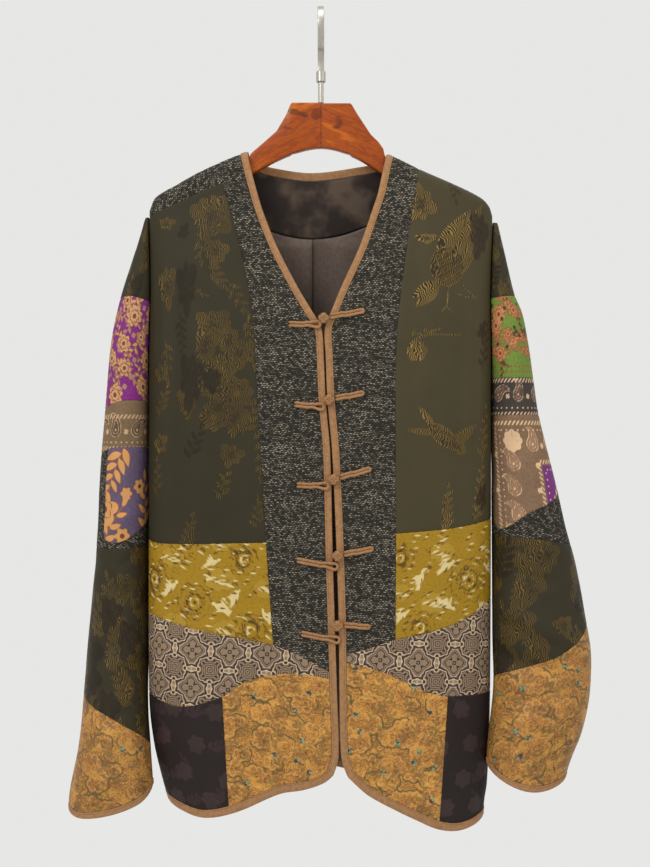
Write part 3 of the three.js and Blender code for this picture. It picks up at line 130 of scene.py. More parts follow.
SEAMS = {
    # down, x
    "band_seam_left": [(170, -119), (212, -109.5), (274, -92), (347, -77.5), (434, -71.5), (609, -61),
        (722, -53)],
    "band_seam_right": [(180, 113), (288, 95.5), (361, 86.5), (420, 83.5), (600, 83.5), (716, 83)],
    "opening_left": [(165, -93), (195, -86), (217, -80), (238, -73.5), (280, -57), (329, -32), (356, -16),
        (372, -7), (400, -4.8), (451, -2.5), (501, 2), (540, 3.5), (612, 5), (695, 7.5), (773, 10),
        (845, 11.8), (862, 7.5)],
    "opening_right": [(165, 84), (192, 78), (217, 72.5), (238, 65.5), (280, 51), (329, 29), (355, 18.5),
        (370, 12.3), (400, 13.2), (451, 15.4), (501, 20), (540, 22.2), (612, 25.2), (695, 27.8),
        (773, 28.6), (845, 30.6), (864, 36.5)],
    "hem_seam_left": [(770, -110.5), (905, -103)],
    "hem_seam_right": [(770, 142.5), (921, 133)],
    # x, down
    "yoke_left": [(-197, 240), (-90, 192)],
    "green_foot_left": [(-197, 608), (-180, 611), (-60, 608.5)],
    "green_foot_right": [(80, 599), (153, 592.5), (196, 584)],
    "mustard_foot_left": [(-197, 690), (-160, 701), (-116, 710), (-52, 722)],
    "mustard_foot_right": [(82, 716), (127, 706.5), (163, 694), (196, 674)],
    "tweed_foot_left": [(-54, 721.5), (-20, 735), (10, 752)],
    "tweed_foot_right": [(26, 733), (50, 727), (84, 715.5)],
    "taupe_foot_left": [(-197, 782), (-159, 792), (-110, 780), (-88, 765.5), (-59, 756), (-24, 753.5),
        (11, 759.5)],
    "taupe_foot_right": [(27, 741), (76, 755), (114, 772.5), (142, 780), (196, 780)],
    "hem_left": [(-180, 893), (-156, 903), (-129, 908.5), (-93, 900), (-48, 880), (-20, 874.5), (0, 868),
        (7.5, 862)],
    "hem_right": [(36.5, 864), (60, 885), (112, 911), (133, 921), (153, 925), (170, 922), (190, 912)],
    # turn, down
    "cap_foot_left": [(-1, 338), (0, 335), (0.5, 332), (1, 338)],
    "upper_print_foot_left": [(-1, 452), (0, 461), (0.5, 451), (1, 452)],
    "band_foot_left": [(-1, 504), (0, 512), (0.4, 504), (1, 504)],
    "lower_print_foot_left": [(0.28, 607), (0.45, 612), (0.7, 602), (1, 575), (1.29, 504)],
    "elbow_seam_left": [(-1, 616), (0, 619), (1, 616)],
    "cuff_seam_left": [(-1, 839), (-0.5, 806), (0, 785), (0.4, 799), (0.65, 815), (1, 839)],
    "cuff_foot_left": [(-1, 876), (-0.5, 900), (0, 903), (0.3, 907), (0.75, 893), (1, 876)],
    "cap_foot_right": [(-1, 334), (0, 331), (1, 334)],
    "upper_print_foot_right": [(-1, 425), (1, 425)],
    "band_foot_right": [(-1, 467), (1, 467)],
    "lower_print_foot_right": [(-0.29, 505), (0, 548), (0.5, 576), (0.86, 594), (1.14, 540), (1.43, 467)],
    "elbow_seam_right": [(-1, 601), (0, 614), (0.5, 606), (1, 601)],
    "cuff_seam_right": [(-1, 764), (-0.5, 738), (0, 705), (0.5, 741), (1, 764)],
    "cuff_foot_right": [(-1, 852), (-0.5, 872), (0, 867), (0.5, 876), (1, 852)],
}
SLEEVE_LEFT = [  # down, outer, inner, depth, middle
    (240, -202, -197.4, 3.6, 0), (262, -208, -197.4, 12, 0), (289, -216.5, -197.4, 20, 0),
    (332, -230, -197.4, 27, 0), (381, -240.5, -197.4, 31, 0), (452, -247, -197.6, 35, 0),
    (530, -254, -198.2, 36, 5), (622, -259, -198.2, 38, 8), (735, -268.5, -198.4, 40, 2),
    (800, -271.5, -197.4, 42, -12), (843, -274.5, -193, 43, -26), (897, -284, -189, 44, -30),
    (925, -282, -189, 44, -31),
]
SLEEVE_RIGHT = [  # down, outer, inner, depth, middle
    (246, 203, 196.6, 3.8, 0), (285, 212, 196.4, 17, 0), (328, 222, 196, 26, 0),
    (350, 231, 196, 29, 0), (385, 238, 195.8, 32, 0), (428, 244, 195.6, 35, 0),
    (467, 250, 195.6, 37, 0), (545, 269, 195.8, 39, -2), (596, 280.5, 195.8, 40, -5),
    (636, 290.5, 195.7, 41, -8), (688, 300, 195.6, 42, -12), (733, 306.5, 195.6, 43, -17),
    (778, 304.5, 195.2, 43, -24), (820, 295, 190, 42, -31), (854, 281.5, 187, 41, -33),
    (895, 268, 190, 40, -34),
]
# Folds of the solids, then finer creases: turn, down, lean, span, width, out
SLEEVE_FOLDS = {
    "left": [
        (0.5, 500, 60, 0.35, 16, -3.5), (0.55, 585, -50, 0.4, 15, 3), (0.5, 668, 70, 0.4, 14, -4),
        (0.6, 742, -80, 0.35, 16, 4), (0.45, 845, 40, 0.3, 22, -3), (-0.5, 560, 60, 0.4, 18, -4),
        (-0.5, 700, -60, 0.4, 16, 4), (-0.45, 800, 50, 0.3, 18, -3.5),
        (0.35, 285, 40, 0.3, 5, -0.8), (0.6, 365, -50, 0.25, 6, 0.9), (0.45, 430, 45, 0.3, 6, -0.9),
        (0.7, 470, 60, 0.2, 5, -1.2), (0.35, 545, -45, 0.25, 6, 1.1), (0.7, 625, -70, 0.25, 6, -1.5),
        (0.4, 640, 55, 0.25, 7, 1.3), (0.55, 700, 50, 0.3, 6, -1.5), (0.75, 735, -60, 0.2, 6, 1.6),
        (0.3, 770, 50, 0.25, 7, -1.3), (0.65, 800, -70, 0.25, 6, -1.6), (0.5, 870, 30, 0.3, 8, 1.4),
        (-0.5, 380, 40, 0.3, 7, 1.0), (-0.4, 600, -50, 0.3, 7, -1.4), (-0.6, 660, 60, 0.3, 7, 1.4),
        (-0.5, 760, -50, 0.3, 7, -1.5), (-0.5, 860, 40, 0.3, 8, 1.3),
    ],
    "right": [
        (0.55, 500, 70, 0.35, 18, -3.5), (0.5, 600, -60, 0.4, 16, 3), (0.72, 742, -40, 0.32, 11, -7),
        (0.6, 700, -70, 0.35, 18, 5), (0.5, 805, 30, 0.4, 20, 3), (-0.5, 560, 60, 0.4, 18, -4),
        (-0.5, 735, -50, 0.4, 14, -5), (-0.45, 690, -50, 0.4, 16, 4),
        (0.4, 300, 30, 0.3, 5, -0.8), (0.6, 390, -40, 0.25, 6, 0.8), (0.5, 450, 45, 0.3, 6, -0.9),
        (0.35, 540, -50, 0.25, 7, 1.1), (0.7, 560, 50, 0.25, 6, -1.2), (0.6, 645, -60, 0.25, 7, -1.6),
        (0.35, 660, 60, 0.25, 8, 1.4), (0.8, 690, -50, 0.2, 6, 1.8), (0.5, 720, -60, 0.25, 6, -1.6),
        (0.7, 770, -40, 0.2, 7, 2.0), (0.45, 775, 40, 0.3, 8, -1.6), (0.3, 820, -50, 0.3, 8, 1.5),
        (0.65, 840, -40, 0.25, 7, -1.5), (-0.5, 400, 40, 0.3, 7, 1.0), (-0.4, 620, -50, 0.3, 7, -1.5),
        (-0.6, 780, 50, 0.3, 8, 1.5), (-0.5, 830, -40, 0.3, 8, -1.4),
    ],
}
FROGS = [  # loopX, loopDown, eyeX, eyeDown, knotX, knotDown, armX, armDown
    (-34, 368, -2, 369.5, 3, 362, 45, 353.5), (-27.5, 457.5, 2, 461.5, 9, 453, 44.5, 445.5),
    (-25, 547, 7, 549, 14, 541, 52, 530), (-25, 630, 17, 638, 18, 625.5, 54.5, 618),
    (-20, 711, 19, 719, 18, 702.5, 51, 704),
]

# Share of the way across the back neck at which the solids' columns stand
NECK_STOPS = np.array([0.014, 0.04, 0.13, 0.35, 0.6, 0.85, 0.955, 0.985])


def through(rows, column=1):
    """Smooth curve through a table: cubic between two rows, with each slope taken from the
    neighbouring rows, and straight on past the ends."""
    rows = np.asarray(rows, float)
    key, value = rows[:, 0], rows[:, column]
    last = len(key) - 1
    place = np.arange(last + 1)
    before, after = np.maximum(place - 1, 0), np.minimum(place + 1, last)
    slope = (value[after] - value[before]) / (key[after] - key[before])

    def at(x):
        x = np.asarray(x, float)
        i = np.clip(np.searchsorted(key, x, side="right") - 1, 0, last - 1)
        step = key[i + 1] - key[i]
        t = (x - key[i]) / step
        s = np.clip(t, 0, 1)
        rise = 3 * s**2 - 2 * s**3
        bend = slope[i] * step * s * (1 - s) ** 2 - slope[i + 1] * step * s**2 * (1 - s)
        beyond = np.minimum(t, 0) * step * slope[i] + np.maximum(t - 1, 0) * step * slope[i + 1]
        return value[i] * (1 - rise) + value[i + 1] * rise + bend + beyond

    return at


ridge_at = through(RIDGE)
half_left = through(BODY, 1)
half_right = through(BODY, 2)
depth_of = {"front": through(BODY, 3), "back": through(BODY, 4)}


def half_at(side, down):
    """Half width of the body at a height, on the side that the sign gives."""
    return np.where(np.asarray(side) < 0, half_left(down), half_right(down))


def bell(t):
    """A bell curve, 1 in the middle."""
    return np.exp(-t * t)


def smooth(low, high, value):
    """Eases from 0 at low to 1 at high."""
    t = np.clip((value - low) / (high - low), 0, 1)
    return t * t * (3 - 2 * t)


def folds_at(face, x, down):
    """How far the folds stand out: each is a bell across, and a rounded arch along its length."""
    out = np.zeros(np.broadcast(x, down).shape)
    for centre, lean, top, foot, width, height in BODY_FOLDS[face]:
        along = np.clip((down - top) / (foot - top), 0, 1)
        arch = np.sin(np.pi * along) ** 0.8
        out = out + height * bell((x - centre - lean * along) / width) * arch
    return out


def body_down(turn, run):
    """Height of a place on the body: the ridge's height and the drop round the ridge and below."""
    bend = np.minimum(run / RIDGE_ROUND, np.pi / 2)
    drop = RIDGE_ROUND * (1 - np.cos(bend)) + np.maximum(run - QUARTER_TURN, 0)
    return ridge_at(SHOULDER_HALF * np.sin(turn * np.pi / 2)) + drop


def body_point(face, turn, run, inset=0.0):
    """Points of the body's shell. The section is a superellipse: x is the half width times the
    sine of the turn, and y is the depth times (1 - |sine|^3)^(1/3). The shoulder ridge is a
    quarter round, the folds are added to the depth, and inset goes below the outer face."""
    sine = np.sin(turn * np.pi / 2)
    bend = np.minimum(run / RIDGE_ROUND, np.pi / 2)
    down = body_down(turn, run)
    x = (half_at(sine, down) - inset) * sine
    rounding = np.maximum(1 - np.abs(sine) ** SIDE_POWER, 0) ** (1 / SIDE_POWER)
    depth = (depth_of[face](down) - inset) * np.sin(bend) + folds_at(face, x, down)
    y = depth * rounding * (-1 if face == "front" else 1)
    return np.stack(np.broadcast_arrays(x, y, -(down + inset)), -1)


def over(face, places, inset=0.0):
    """Points of the body's shell at an array of turns and runs."""
    return body_point(face, places[..., 0], places[..., 1], inset)


def on_body(x, down):
    """Turn and run of the place that is seen at x and down."""
    sine = np.clip(x / half_at(x, down), -1, 1)
    drop = np.maximum(down - ridge_at(SHOULDER_HALF * sine), 0)
    round_part = RIDGE_ROUND * np.arccos(np.clip(1 - drop / RIDGE_ROUND, -1, 1))
    run = np.where(drop < RIDGE_ROUND, round_part, QUARTER_TURN + drop - RIDGE_ROUND)
    return np.stack(np.broadcast_arrays(np.arcsin(sine) / (np.pi / 2), run), -1)


def crossing(x_at, down_at):
    """Where an upright edge crosses a level one."""
    x = x_at(500)
    down = down_at(x)
    for _ in range(30):
        x = x_at(down)
        down = down_at(x)
    return float(x), float(down)


def refine(coarse):
    """Puts FINE even steps between the rows of a coarse edge."""
    coarse = np.asarray(coarse, float)
    place = np.arange(len(coarse))
    at = np.linspace(0, len(coarse) - 1, (len(coarse) - 1) * FINE + 1)
    if coarse.ndim == 1:
        return np.interp(at, place, coarse)
    return np.stack([np.interp(at, place, column) for column in coarse.T], -1)


def join(*edges):
    """Edges one after another, without their shared points."""
    return np.concatenate([edges[0]] + [edge[1:] for edge in edges[1:]])


def along_upright(x_at, start, end, count):
    """Places along an upright edge, evenly between two heights."""
    down = np.linspace(start, end, count * FINE + 1)
    return on_body(x_at(down), down)


def along_level(down_at, start, end, count):
    """Places along a level edge, evenly in turn between two places."""
    turn = np.linspace(start[0], end[0], count * FINE + 1)
    sine = np.sin(turn * np.pi / 2)
    x = SHOULDER_HALF * sine
    for _ in range(6):
        x = half_at(sine, down_at(x)) * sine
    line = np.stack([turn, on_body(x, down_at(x))[:, 1]], -1)
    line[0], line[-1] = start, end
    return line


def along_from_ridge(x_at, to, count):
    """Places along an upright edge that starts on the shoulder ridge, closer together there."""
    end = on_body(x_at(to), to)[1]
    rest = count - len(RIDGE_STOPS) + 1
    below = QUARTER_TURN + (end - QUARTER_TURN) * np.arange(1, rest + 1) / rest
    run = refine(np.concatenate([RIDGE_STOPS * QUARTER_TURN, below]))
    turn = np.full(run.shape, x_at(200) / SHOULDER_HALF)
    for _ in range(12):
        down = body_down(turn, run)
        turn = np.arcsin(np.clip(x_at(down) / half_at(turn, down), -1, 1)) / (np.pi / 2)
    return np.stack([turn, run], -1)


ARMHOLES = {
    "left": {"side": -1, "top": 240, "foot": 452, "marks": (240, 338, 452), "counts": (4, 4)},
    "right": {"side": 1, "top": 246, "foot": 467, "marks": (246, 334, 425, 467), "counts": (4, 3, 2)},
}


def armhole_half(hole, down):
    """Half of the armhole's width at a height: part of a sine, 0 at its foot."""
    along = (down - hole["top"]) / (hole["foot"] - hole["top"])
    return np.where(along >= 1, 0, ARMHOLE_HALF * np.sin(np.pi * (0.06 + 0.94 * along)))


def armhole_edge(hole, face, down):
    """Turn and run of the armhole's edge: where the section has the armhole's half width."""
    down = np.asarray(down, float)
    half = armhole_half(hole, down)
    wide = half_at(hole["side"], down)
    x = hole["side"] * wide
    for _ in range(8):
        bend = np.minimum(on_body(x, down)[..., 1] / RIDGE_ROUND, np.pi / 2)
        depth = depth_of[face](down) * np.sin(bend) + folds_at(face, x, down)
        sine = (1 - np.minimum(half / depth, 0.95) ** SIDE_POWER) ** (1 / SIDE_POWER)
        x = hole["side"] * wide * sine
    return on_body(x, down)


def side_edge(hole, face, foot, rows, with_tip):
    """Places down a side: the shoulder point, the armhole's edge and then the side seam."""
    side = hole["side"]
    marks = [np.linspace(a, b, n * FINE + 1)
             for a, b, n in zip(hole["marks"], hole["marks"][1:], hole["counts"])]
    edge = armhole_edge(hole, face, join(*marks))
    seam = along_upright(lambda down: side * half_at(side, down), hole["foot"], foot, rows)
    whole = join(edge, seam)
    if with_tip:
        tip = [(side, share * edge[0, 1]) for share in RIDGE_STOPS[:-1]] + [tuple(edge[0])]
        whole = join(refine(tip), whole)
    return whole


def side_seam(side, start, end, rows):
    """Places along the side seam between two heights."""
    return along_upright(lambda down: side * half_at(side, down), start, end, rows)


def at_side(side, down_at):
    """Height at which a level edge reaches the side seam."""
    down = down_at(side * SHOULDER_HALF)
    for _ in range(8):
        down = down_at(side * half_at(side, down))
    return float(down)


def pick(edge, at):
    """Places of an edge at shares of its count."""
    place = np.linspace(0, 1, len(edge))
    return np.stack([np.interp(at, place, edge[:, k]) for k in (0, 1)], -1)


def fill_patch(edges, s, t):
    """Fills a four-sided patch between its edges: the mean of the two ruled surfaces' sum less
    the bilinear one through the corners, sampled at shares s across and t down."""
    top, bottom, left, right = edges
    s_row, t_row = s[None, :, None], t[:, None, None]
    corners = ((top[0] * (1 - s_row) + top[-1] * s_row) * (1 - t_row)
               + (bottom[0] * (1 - s_row) + bottom[-1] * s_row) * t_row)
    across = pick(left, t)[:, None] * (1 - s_row) + pick(right, t)[:, None] * s_row
    along = pick(top, s)[None] * (1 - t_row) + pick(bottom, s)[None] * t_row
    return across + along - corners


def shares(length, spacing, near=(0.5, 1.6)):
    """Shares of a length at an even spacing, with extra lines close to both ends."""
    count = max(int(round(length / spacing)), 3)
    even = np.linspace(0, 1, count + 1)[1:-1]
    ends = np.array([0.0] + [near_end / length for near_end in near])
    even = even[(even > ends[-1] * 1.3) & (even < 1 - ends[-1] * 1.3)]
    return np.concatenate([ends, even, 1 - ends[::-1]])


def run_along(points):
    """Distance of each point of a line from its start."""
    return np.concatenate([[0], np.cumsum(np.linalg.norm(np.diff(points, axis=0), axis=1))])


def length_of(points):
    """Length of a line of points."""
    return float(run_along(points)[-1])


def unit(vectors):
    """The same directions with length 1."""
    return vectors / np.maximum(np.linalg.norm(vectors, axis=-1, keepdims=True), 1e-6)


def draw_back(grid, closed):
    """Moves the edges of a grid of points inwards by half a seam gap."""
    grid = grid.copy()
    pairs = [((0,), (1,)), ((-1,), (-2,))]
    if not closed:
        pairs += [((slice(None), 0), (slice(None), 1)), ((slice(None), -1), (slice(None), -2))]
    moved = grid.copy()
    for edge, inner in pairs:
        way = grid[inner] - grid[edge]
        size = np.linalg.norm(way, axis=-1, keepdims=True)
        moved[edge] += np.where(size > 1e-4, way / np.maximum(size, 1e-4), 0) * SEAM_GAP / 2
    return moved


def edge_distance(grid, closed):
    """Distance of each point from the nearest edge of its grid, measured along the grid."""
    down = np.linalg.norm(np.diff(grid, axis=0), axis=-1)
    down = np.concatenate([np.zeros((1, grid.shape[1])), np.cumsum(down, 0)])
    nearest = np.minimum(down, down[-1] - down)
    if not closed:
        across = np.linalg.norm(np.diff(grid, axis=1), axis=-1)
        across = np.concatenate([np.zeros((grid.shape[0], 1)), np.cumsum(across, 1)], 1)
        nearest = np.minimum(nearest, np.minimum(across, across[:, -1:] - across))
    return nearest


def grid_quads(rows, columns, offset=0, flip=False):
    """Corner numbers of the faces of a grid of points."""
    i, j = np.meshgrid(np.arange(rows - 1), np.arange(columns - 1), indexing="ij")
    a = (i * columns + j).ravel() + offset
    quads = np.stack([a, a + 1, a + columns + 1, a + columns], -1)
    return quads[:, ::-1] if flip else quads


def rim_quads(line_a, line_b, flip=False):
    """Faces between two lines of point numbers."""
    quads = np.stack([line_a[:-1], line_a[1:], line_b[1:], line_b[:-1]], -1)
    return quads[:, ::-1] if flip else quads


def make_mesh(name, points, quads, materials, cloth=None, figure=None, inside=None, merge=2e-6):
    """Makes an object from points in millimetres. cloth holds each point's place on the cloth,
    figure up to four fields of its pattern, and inside which faces take the second material."""
    mesh = bpy.data.meshes.new(name + "_made")
    mesh.vertices.add(len(points))
    mesh.vertices.foreach_set("co", (points * MM).astype(np.float32).ravel())
    mesh.loops.add(quads.size)
    mesh.loops.foreach_set("vertex_index", quads.astype(np.int32).ravel())
    mesh.polygons.add(len(quads))
    mesh.polygons.foreach_set("loop_start", np.arange(0, quads.size, quads.shape[1], dtype=np.int32))
    mesh.update(calc_edges=True)
    if cloth is not None:
        layer = mesh.uv_layers.new(name="cloth")
        layer.data.foreach_set("uv", (cloth[quads.ravel()] * MM).astype(np.float32).ravel())
    if figure is not None:
        attribute = mesh.attributes.new("figure", "FLOAT_COLOR", "POINT")
        attribute.data.foreach_set("color", figure.astype(np.float32).ravel())
    for material in materials:
        mesh.materials.append(material)
    if inside is not None:
        mesh.polygons.foreach_set("material_index", inside.astype(np.int32))
    mesh.polygons.foreach_set("use_smooth", np.ones(len(quads), bool))
    tidy = bmesh.new()
    tidy.from_mesh(mesh)
    bmesh.ops.remove_doubles(tidy, verts=tidy.verts, dist=merge)
    bmesh.ops.dissolve_degenerate(tidy, dist=merge, edges=tidy.edges)
    bmesh.ops.recalc_face_normals(tidy, faces=tidy.faces)
    tidy.to_mesh(mesh)
    tidy.free()
    mesh.validate()
    mesh.update()
    obj = bpy.data.objects.new(name + "_made", mesh)
    bpy.context.scene.collection.objects.link(obj)
    return obj


def wall_mesh(name, outer, inner, closed, materials, cloth=None, figure=None):
    """A closed wall between an outer and an inner grid of points. The inner grid's faces, and
    the narrow ones round the rim, take the second material."""
    rows, columns = outer.shape[:2]
    if closed:
        outer, inner = outer.copy(), inner.copy()
        outer[:, -1], inner[:, -1] = outer[:, 0], inner[:, 0]
    count = rows * columns
    number = np.arange(count).reshape(rows, columns)
    faces = [grid_quads(rows, columns), grid_quads(rows, columns, count, True)]
    faces.append(rim_quads(number[0], number[0] + count, True))
    faces.append(rim_quads(number[-1], number[-1] + count))
    if not closed:
        faces.append(rim_quads(number[:, 0], number[:, 0] + count))
        faces.append(rim_quads(number[:, -1], number[:, -1] + count, True))
    quads = np.concatenate(faces)
    inside = np.ones(len(quads), int)
    inside[:len(faces[0])] = 0
    points = np.concatenate([outer.reshape(-1, 3), inner.reshape(-1, 3)])
    double = lambda values, width: np.concatenate([values.reshape(-1, width)] * 2)
    if len(materials) == 1:
        inside = None
    return make_mesh(name, points, quads, materials,
                     None if cloth is None else double(cloth, 2),
                     None if figure is None else double(figure, 4), inside)


def body_unrolled(turn):
    """Distance across the cloth from the middle to a turn, along a section of mid height."""
    section = body_point("front", ARC_TURNS, np.full(ARC_TURNS.shape, 420.0))
    arc = run_along(section[:, :2])
    return np.interp(turn, ARC_TURNS, arc - np.interp(0, ARC_TURNS, arc))


ARC_TURNS = np.linspace(-1, 1, 401)


def edge_dip(distance, reach=2.4, depth=0.55):
    """How far the cloth turns in at a seam: a quarter bell that ends at the reach."""
    return depth * np.maximum(1 - distance / reach, 0) ** 2


def pucker(u, v, distance, size):
    """Small ripples across a seam that die out within a centimetre of it."""
    return size * np.sin(0.78 * (u + v) + 1.3 * np.sin(0.21 * (u - v))) * np.exp(-distance / 7)


def wall_panel(name, point, grid, u, v, closed, materials, paint):
    """A wall over a grid of places on the cloth, turned in at its seams, with its pattern."""
    distance = edge_distance(point(grid), closed)
    outer = draw_back(point(grid, edge_dip(distance) + pucker(u, v, distance, PUCKER)), closed)
    inner = draw_back(point(grid, CLOTH - 0.4 * edge_dip(distance)), closed)
    figure = paint(u, v) if paint else None
    return wall_mesh(name, outer, inner, closed, materials, np.stack([u, -v], -1), figure)


def body_panel(name, face, edges, spacing, materials, paint=None):
    """A panel of the body: a wall over the patch between its edges."""
    point = lambda places, inset=0.0: over(face, places, inset)
    middle = [fill_patch(edges, np.array([0.5]), np.linspace(0, 1, 30))[:, 0],
              fill_patch(edges, np.linspace(0, 1, 30), np.array([0.5]))[0]]
    tall, wide = (length_of(point(line)) for line in middle)
    grid = fill_patch(edges, shares(wide, spacing), shares(tall, spacing))
    u = body_unrolled(grid[..., 0]) * (1 if face == "front" else -1)
    v = -point(grid)[..., 2]
    obj = wall_panel(name, point, grid, u, v, False, materials, paint)
    finish_piece(obj, name, (np.ptp(u), np.ptp(v)))


def stand_for(obj, node):
    """Hides the part that an object replaces and hangs the object on the root. The node's slot in the record is
    looked up but not kept.
    """
    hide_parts(node)
    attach(obj, "root")
    next(row["material_slot"] for row in frame["record"]["subparts"] if row["node"] == node)


def finish_piece(obj, node, size):
    """Hides the part that a piece of cloth replaces and hangs the piece on the root. Its cut size and flat area
    are worked out but not kept.
    """
    stand_for(obj, node)
    faces = obj.data.polygons
    area = np.zeros(len(faces))
    faces.foreach_get("area", area)
    width, length = size[0] * MM * 1.02, size[1] * MM * 1.02
    flat_area = float(np.clip(area.sum() / 2, 0.31 * width * length, width * length))


def front_edges(side):
    """Edges of the panels of one front, its binding's edge, and its seams' heights at the side."""
    left = side < 0
    hole = ARMHOLES["left" if left else "right"]
    side_rows = 4 if left else 3
    tip_rows = len(RIDGE_STOPS) - 1
    outer_rows = sum(hole["counts"]) + side_rows + (0 if left else tip_rows)
    suffix = "_left" if left else "_right"
    curve = {key: through(SEAMS[key + suffix]) for key in (
        "band_seam", "opening", "green_foot", "mustard_foot", "tweed_foot", "taupe_foot",
        "hem_seam", "hem")}
    band, opening = curve["band_seam"], curve["opening"]
    mustard_down = crossing(band, curve["mustard_foot"])[1]
    green_down = crossing(band, curve["green_foot"])[1]
    green_side = at_side(side, curve["green_foot"])
    yoke_rows = tip_rows + 1
    panels = {}
    if left:
        yoke = through(SEAMS["yoke_left"])
        yoke_down = crossing(band, yoke)[1]
        to_yoke = along_from_ridge(band, yoke_down, yoke_rows)
        green_inner = along_upright(band, yoke_down, green_down, outer_rows)
        band_edge = join(to_yoke, green_inner)
        outer = side_edge(hole, "front", green_side, side_rows, False)
        green_top = along_level(yoke, outer[0], green_inner[0], 7)
        ridge = refine(np.stack([np.linspace(side, band_edge[0, 0], 8), np.zeros(8)], -1))
        tip = refine([(side, outer[0, 1] * i / yoke_rows) for i in range(yoke_rows)] + [tuple(outer[0])])
        panels["yoke_tweed"] = (ridge, green_top, tip, to_yoke)
    else:
        band_edge = green_inner = along_from_ridge(band, green_down, outer_rows)
        outer = side_edge(hole, "front", green_side, side_rows, True)
        green_top = refine(np.stack([np.linspace(side, band_edge[0, 0], 8), np.zeros(8)], -1))
    green_foot = along_level(curve["green_foot"], outer[-1], green_inner[-1], 7)
    panels["green"] = (green_top, green_foot, outer, green_inner)

    mustard_side = at_side(side, curve["mustard_foot"])
    band_mustard = along_upright(band, green_down, mustard_down, 3)
    band_whole = join(band_edge, band_mustard)
    mustard_outer = side_seam(side, green_side, mustard_side, 3)
    mustard_foot = along_level(curve["mustard_foot"], mustard_outer[-1], band_whole[-1], 7)
    panels["mustard"] = (green_foot, mustard_foot, mustard_outer, band_mustard)

    tweed_down = crossing(opening, curve["tweed_foot"])[1]
    open_tweed = along_from_ridge(opening, tweed_down, (len(band_whole) - 1) // FINE)
    band_top = refine(np.stack([np.linspace(band_whole[0, 0], open_tweed[0, 0], 6), np.zeros(6)], -1))
    tweed_foot = along_level(curve["tweed_foot"], band_whole[-1], open_tweed[-1], 5)
    panels["band_tweed"] = (band_top, tweed_foot, band_whole, open_tweed)

    taupe_down = crossing(opening, curve["taupe_foot"])[1]
    seam_top = crossing(curve["hem_seam"], curve["taupe_foot"])
    seam_foot = crossing(curve["hem_seam"], curve["hem"])
    taupe_side = at_side(side, curve["taupe_foot"])
    taupe_outer = side_seam(side, mustard_side, taupe_side, 3)
    taupe_inner = along_upright(opening, tweed_down, taupe_down, 3)
    dark_columns = 6 if left else 4
    gold_columns = 12 - dark_columns
    dark_top = along_level(curve["taupe_foot"], taupe_outer[-1], on_body(*seam_top), dark_columns)
    gold_top = along_level(curve["taupe_foot"], on_body(*seam_top), taupe_inner[-1], gold_columns)
    panels["taupe"] = (join(mustard_foot, tweed_foot), join(dark_top, gold_top), taupe_outer, taupe_inner)

    hem_side = at_side(side, curve["hem"])
    corner_down = SEAMS["opening" + suffix][-1][0]
    dark_outer = side_seam(side, taupe_side, hem_side, 5)
    hem_seam = along_upright(curve["hem_seam"], seam_top[1], seam_foot[1], 5)
    gold_inner = along_upright(opening, taupe_down, corner_down, 5)
    dark_foot = along_level(curve["hem"], dark_outer[-1], hem_seam[-1], dark_columns)
    gold_foot = along_level(curve["hem"], hem_seam[-1], gold_inner[-1], gold_columns)
    panels["hem_dark"] = (dark_top, dark_foot, dark_outer, hem_seam)
    panels["hem_gold"] = (gold_top, gold_foot, hem_seam, gold_inner)
    bound = join(open_tweed, taupe_inner, gold_inner, join(dark_foot, gold_foot)[::-1])
    heights = {"green": green_side, "mustard": mustard_side, "taupe": taupe_side, "hem": hem_side}
    return panels, bound, heights


def back_edges(left_heights, right_heights):
    """Edges of the back's panels, and those of its two bindings."""
    def level(key):
        a, b = left_heights[key], right_heights[key]
        return lambda x: (a + (b - a) * (x + SHOULDER_HALF) / (2 * SHOULDER_HALF)
                          + 12 * np.cos(np.pi * x / (2 * SHOULDER_HALF)))

    neck_curve = through(NECK_BACK)
    to_turn = lambda x: math.asin(x / SHOULDER_HALF) / (math.pi / 2)
    neck_left, neck_right = to_turn(NECK_BACK[0][0] + 1.5), to_turn(NECK_BACK[-1][0])
    share = refine(np.concatenate([[0], NECK_STOPS, [1]]))
    turn = neck_left + (neck_right - neck_left) * share
    x = SHOULDER_HALF * np.sin(turn * np.pi / 2)
    neck = on_body(x, neck_curve(x))
    neck[0], neck[-1] = (neck_left, 0), (neck_right, 0)
    ridge = lambda a, b: refine(np.stack([np.linspace(a, b, 5), np.zeros(5)], -1))
    top = join(ridge(-1, neck_left), neck, ridge(neck_right, 1))
    left = side_edge(ARMHOLES["left"], "back", left_heights["green"], 4, True)
    right = side_edge(ARMHOLES["right"], "back", right_heights["green"], 3, True)
    columns = (len(top) - 1) // FINE
    foot = along_level(level("green"), left[-1], right[-1], columns)
    panels = {"back_green": (top, foot, left, right)}
    above = foot
    for name, start, end, rows in (("back_mustard", "green", "mustard", 3),
                                   ("back_taupe", "mustard", "taupe", 3),
                                   ("back_hem_dark", "taupe", "hem", 5)):
        left = side_seam(-1, left_heights[start], left_heights[end], rows)
        right = side_seam(1, right_heights[start], right_heights[end], rows)
        line = through(HEM_BACK) if end == "hem" else level(end)
        below = along_level(line, left[-1], right[-1], columns)
        panels[name] = (above, below, left, right)
        above = below
    return panels, above, neck


def even_line(edge, face, spacing):
    """The same edge at an even spacing along the cloth."""
    points = over(face, edge)
    run = run_along(points)
    at = np.linspace(0, run[-1], max(int(run[-1] / spacing), 8) + 1)
    return np.stack([np.interp(at, run, edge[:, k]) for k in (0, 1)], -1), run[-1]


def settle(values, width):
    """Running mean of the rows of an array, with its ends held."""
    pad = np.concatenate([np.repeat(values[:1], width, 0), values, np.repeat(values[-1:], width, 0)])
    window = np.ones(2 * width + 1) / (2 * width + 1)
    return np.stack([np.convolve(column, window, "valid") for column in pad.T], -1)


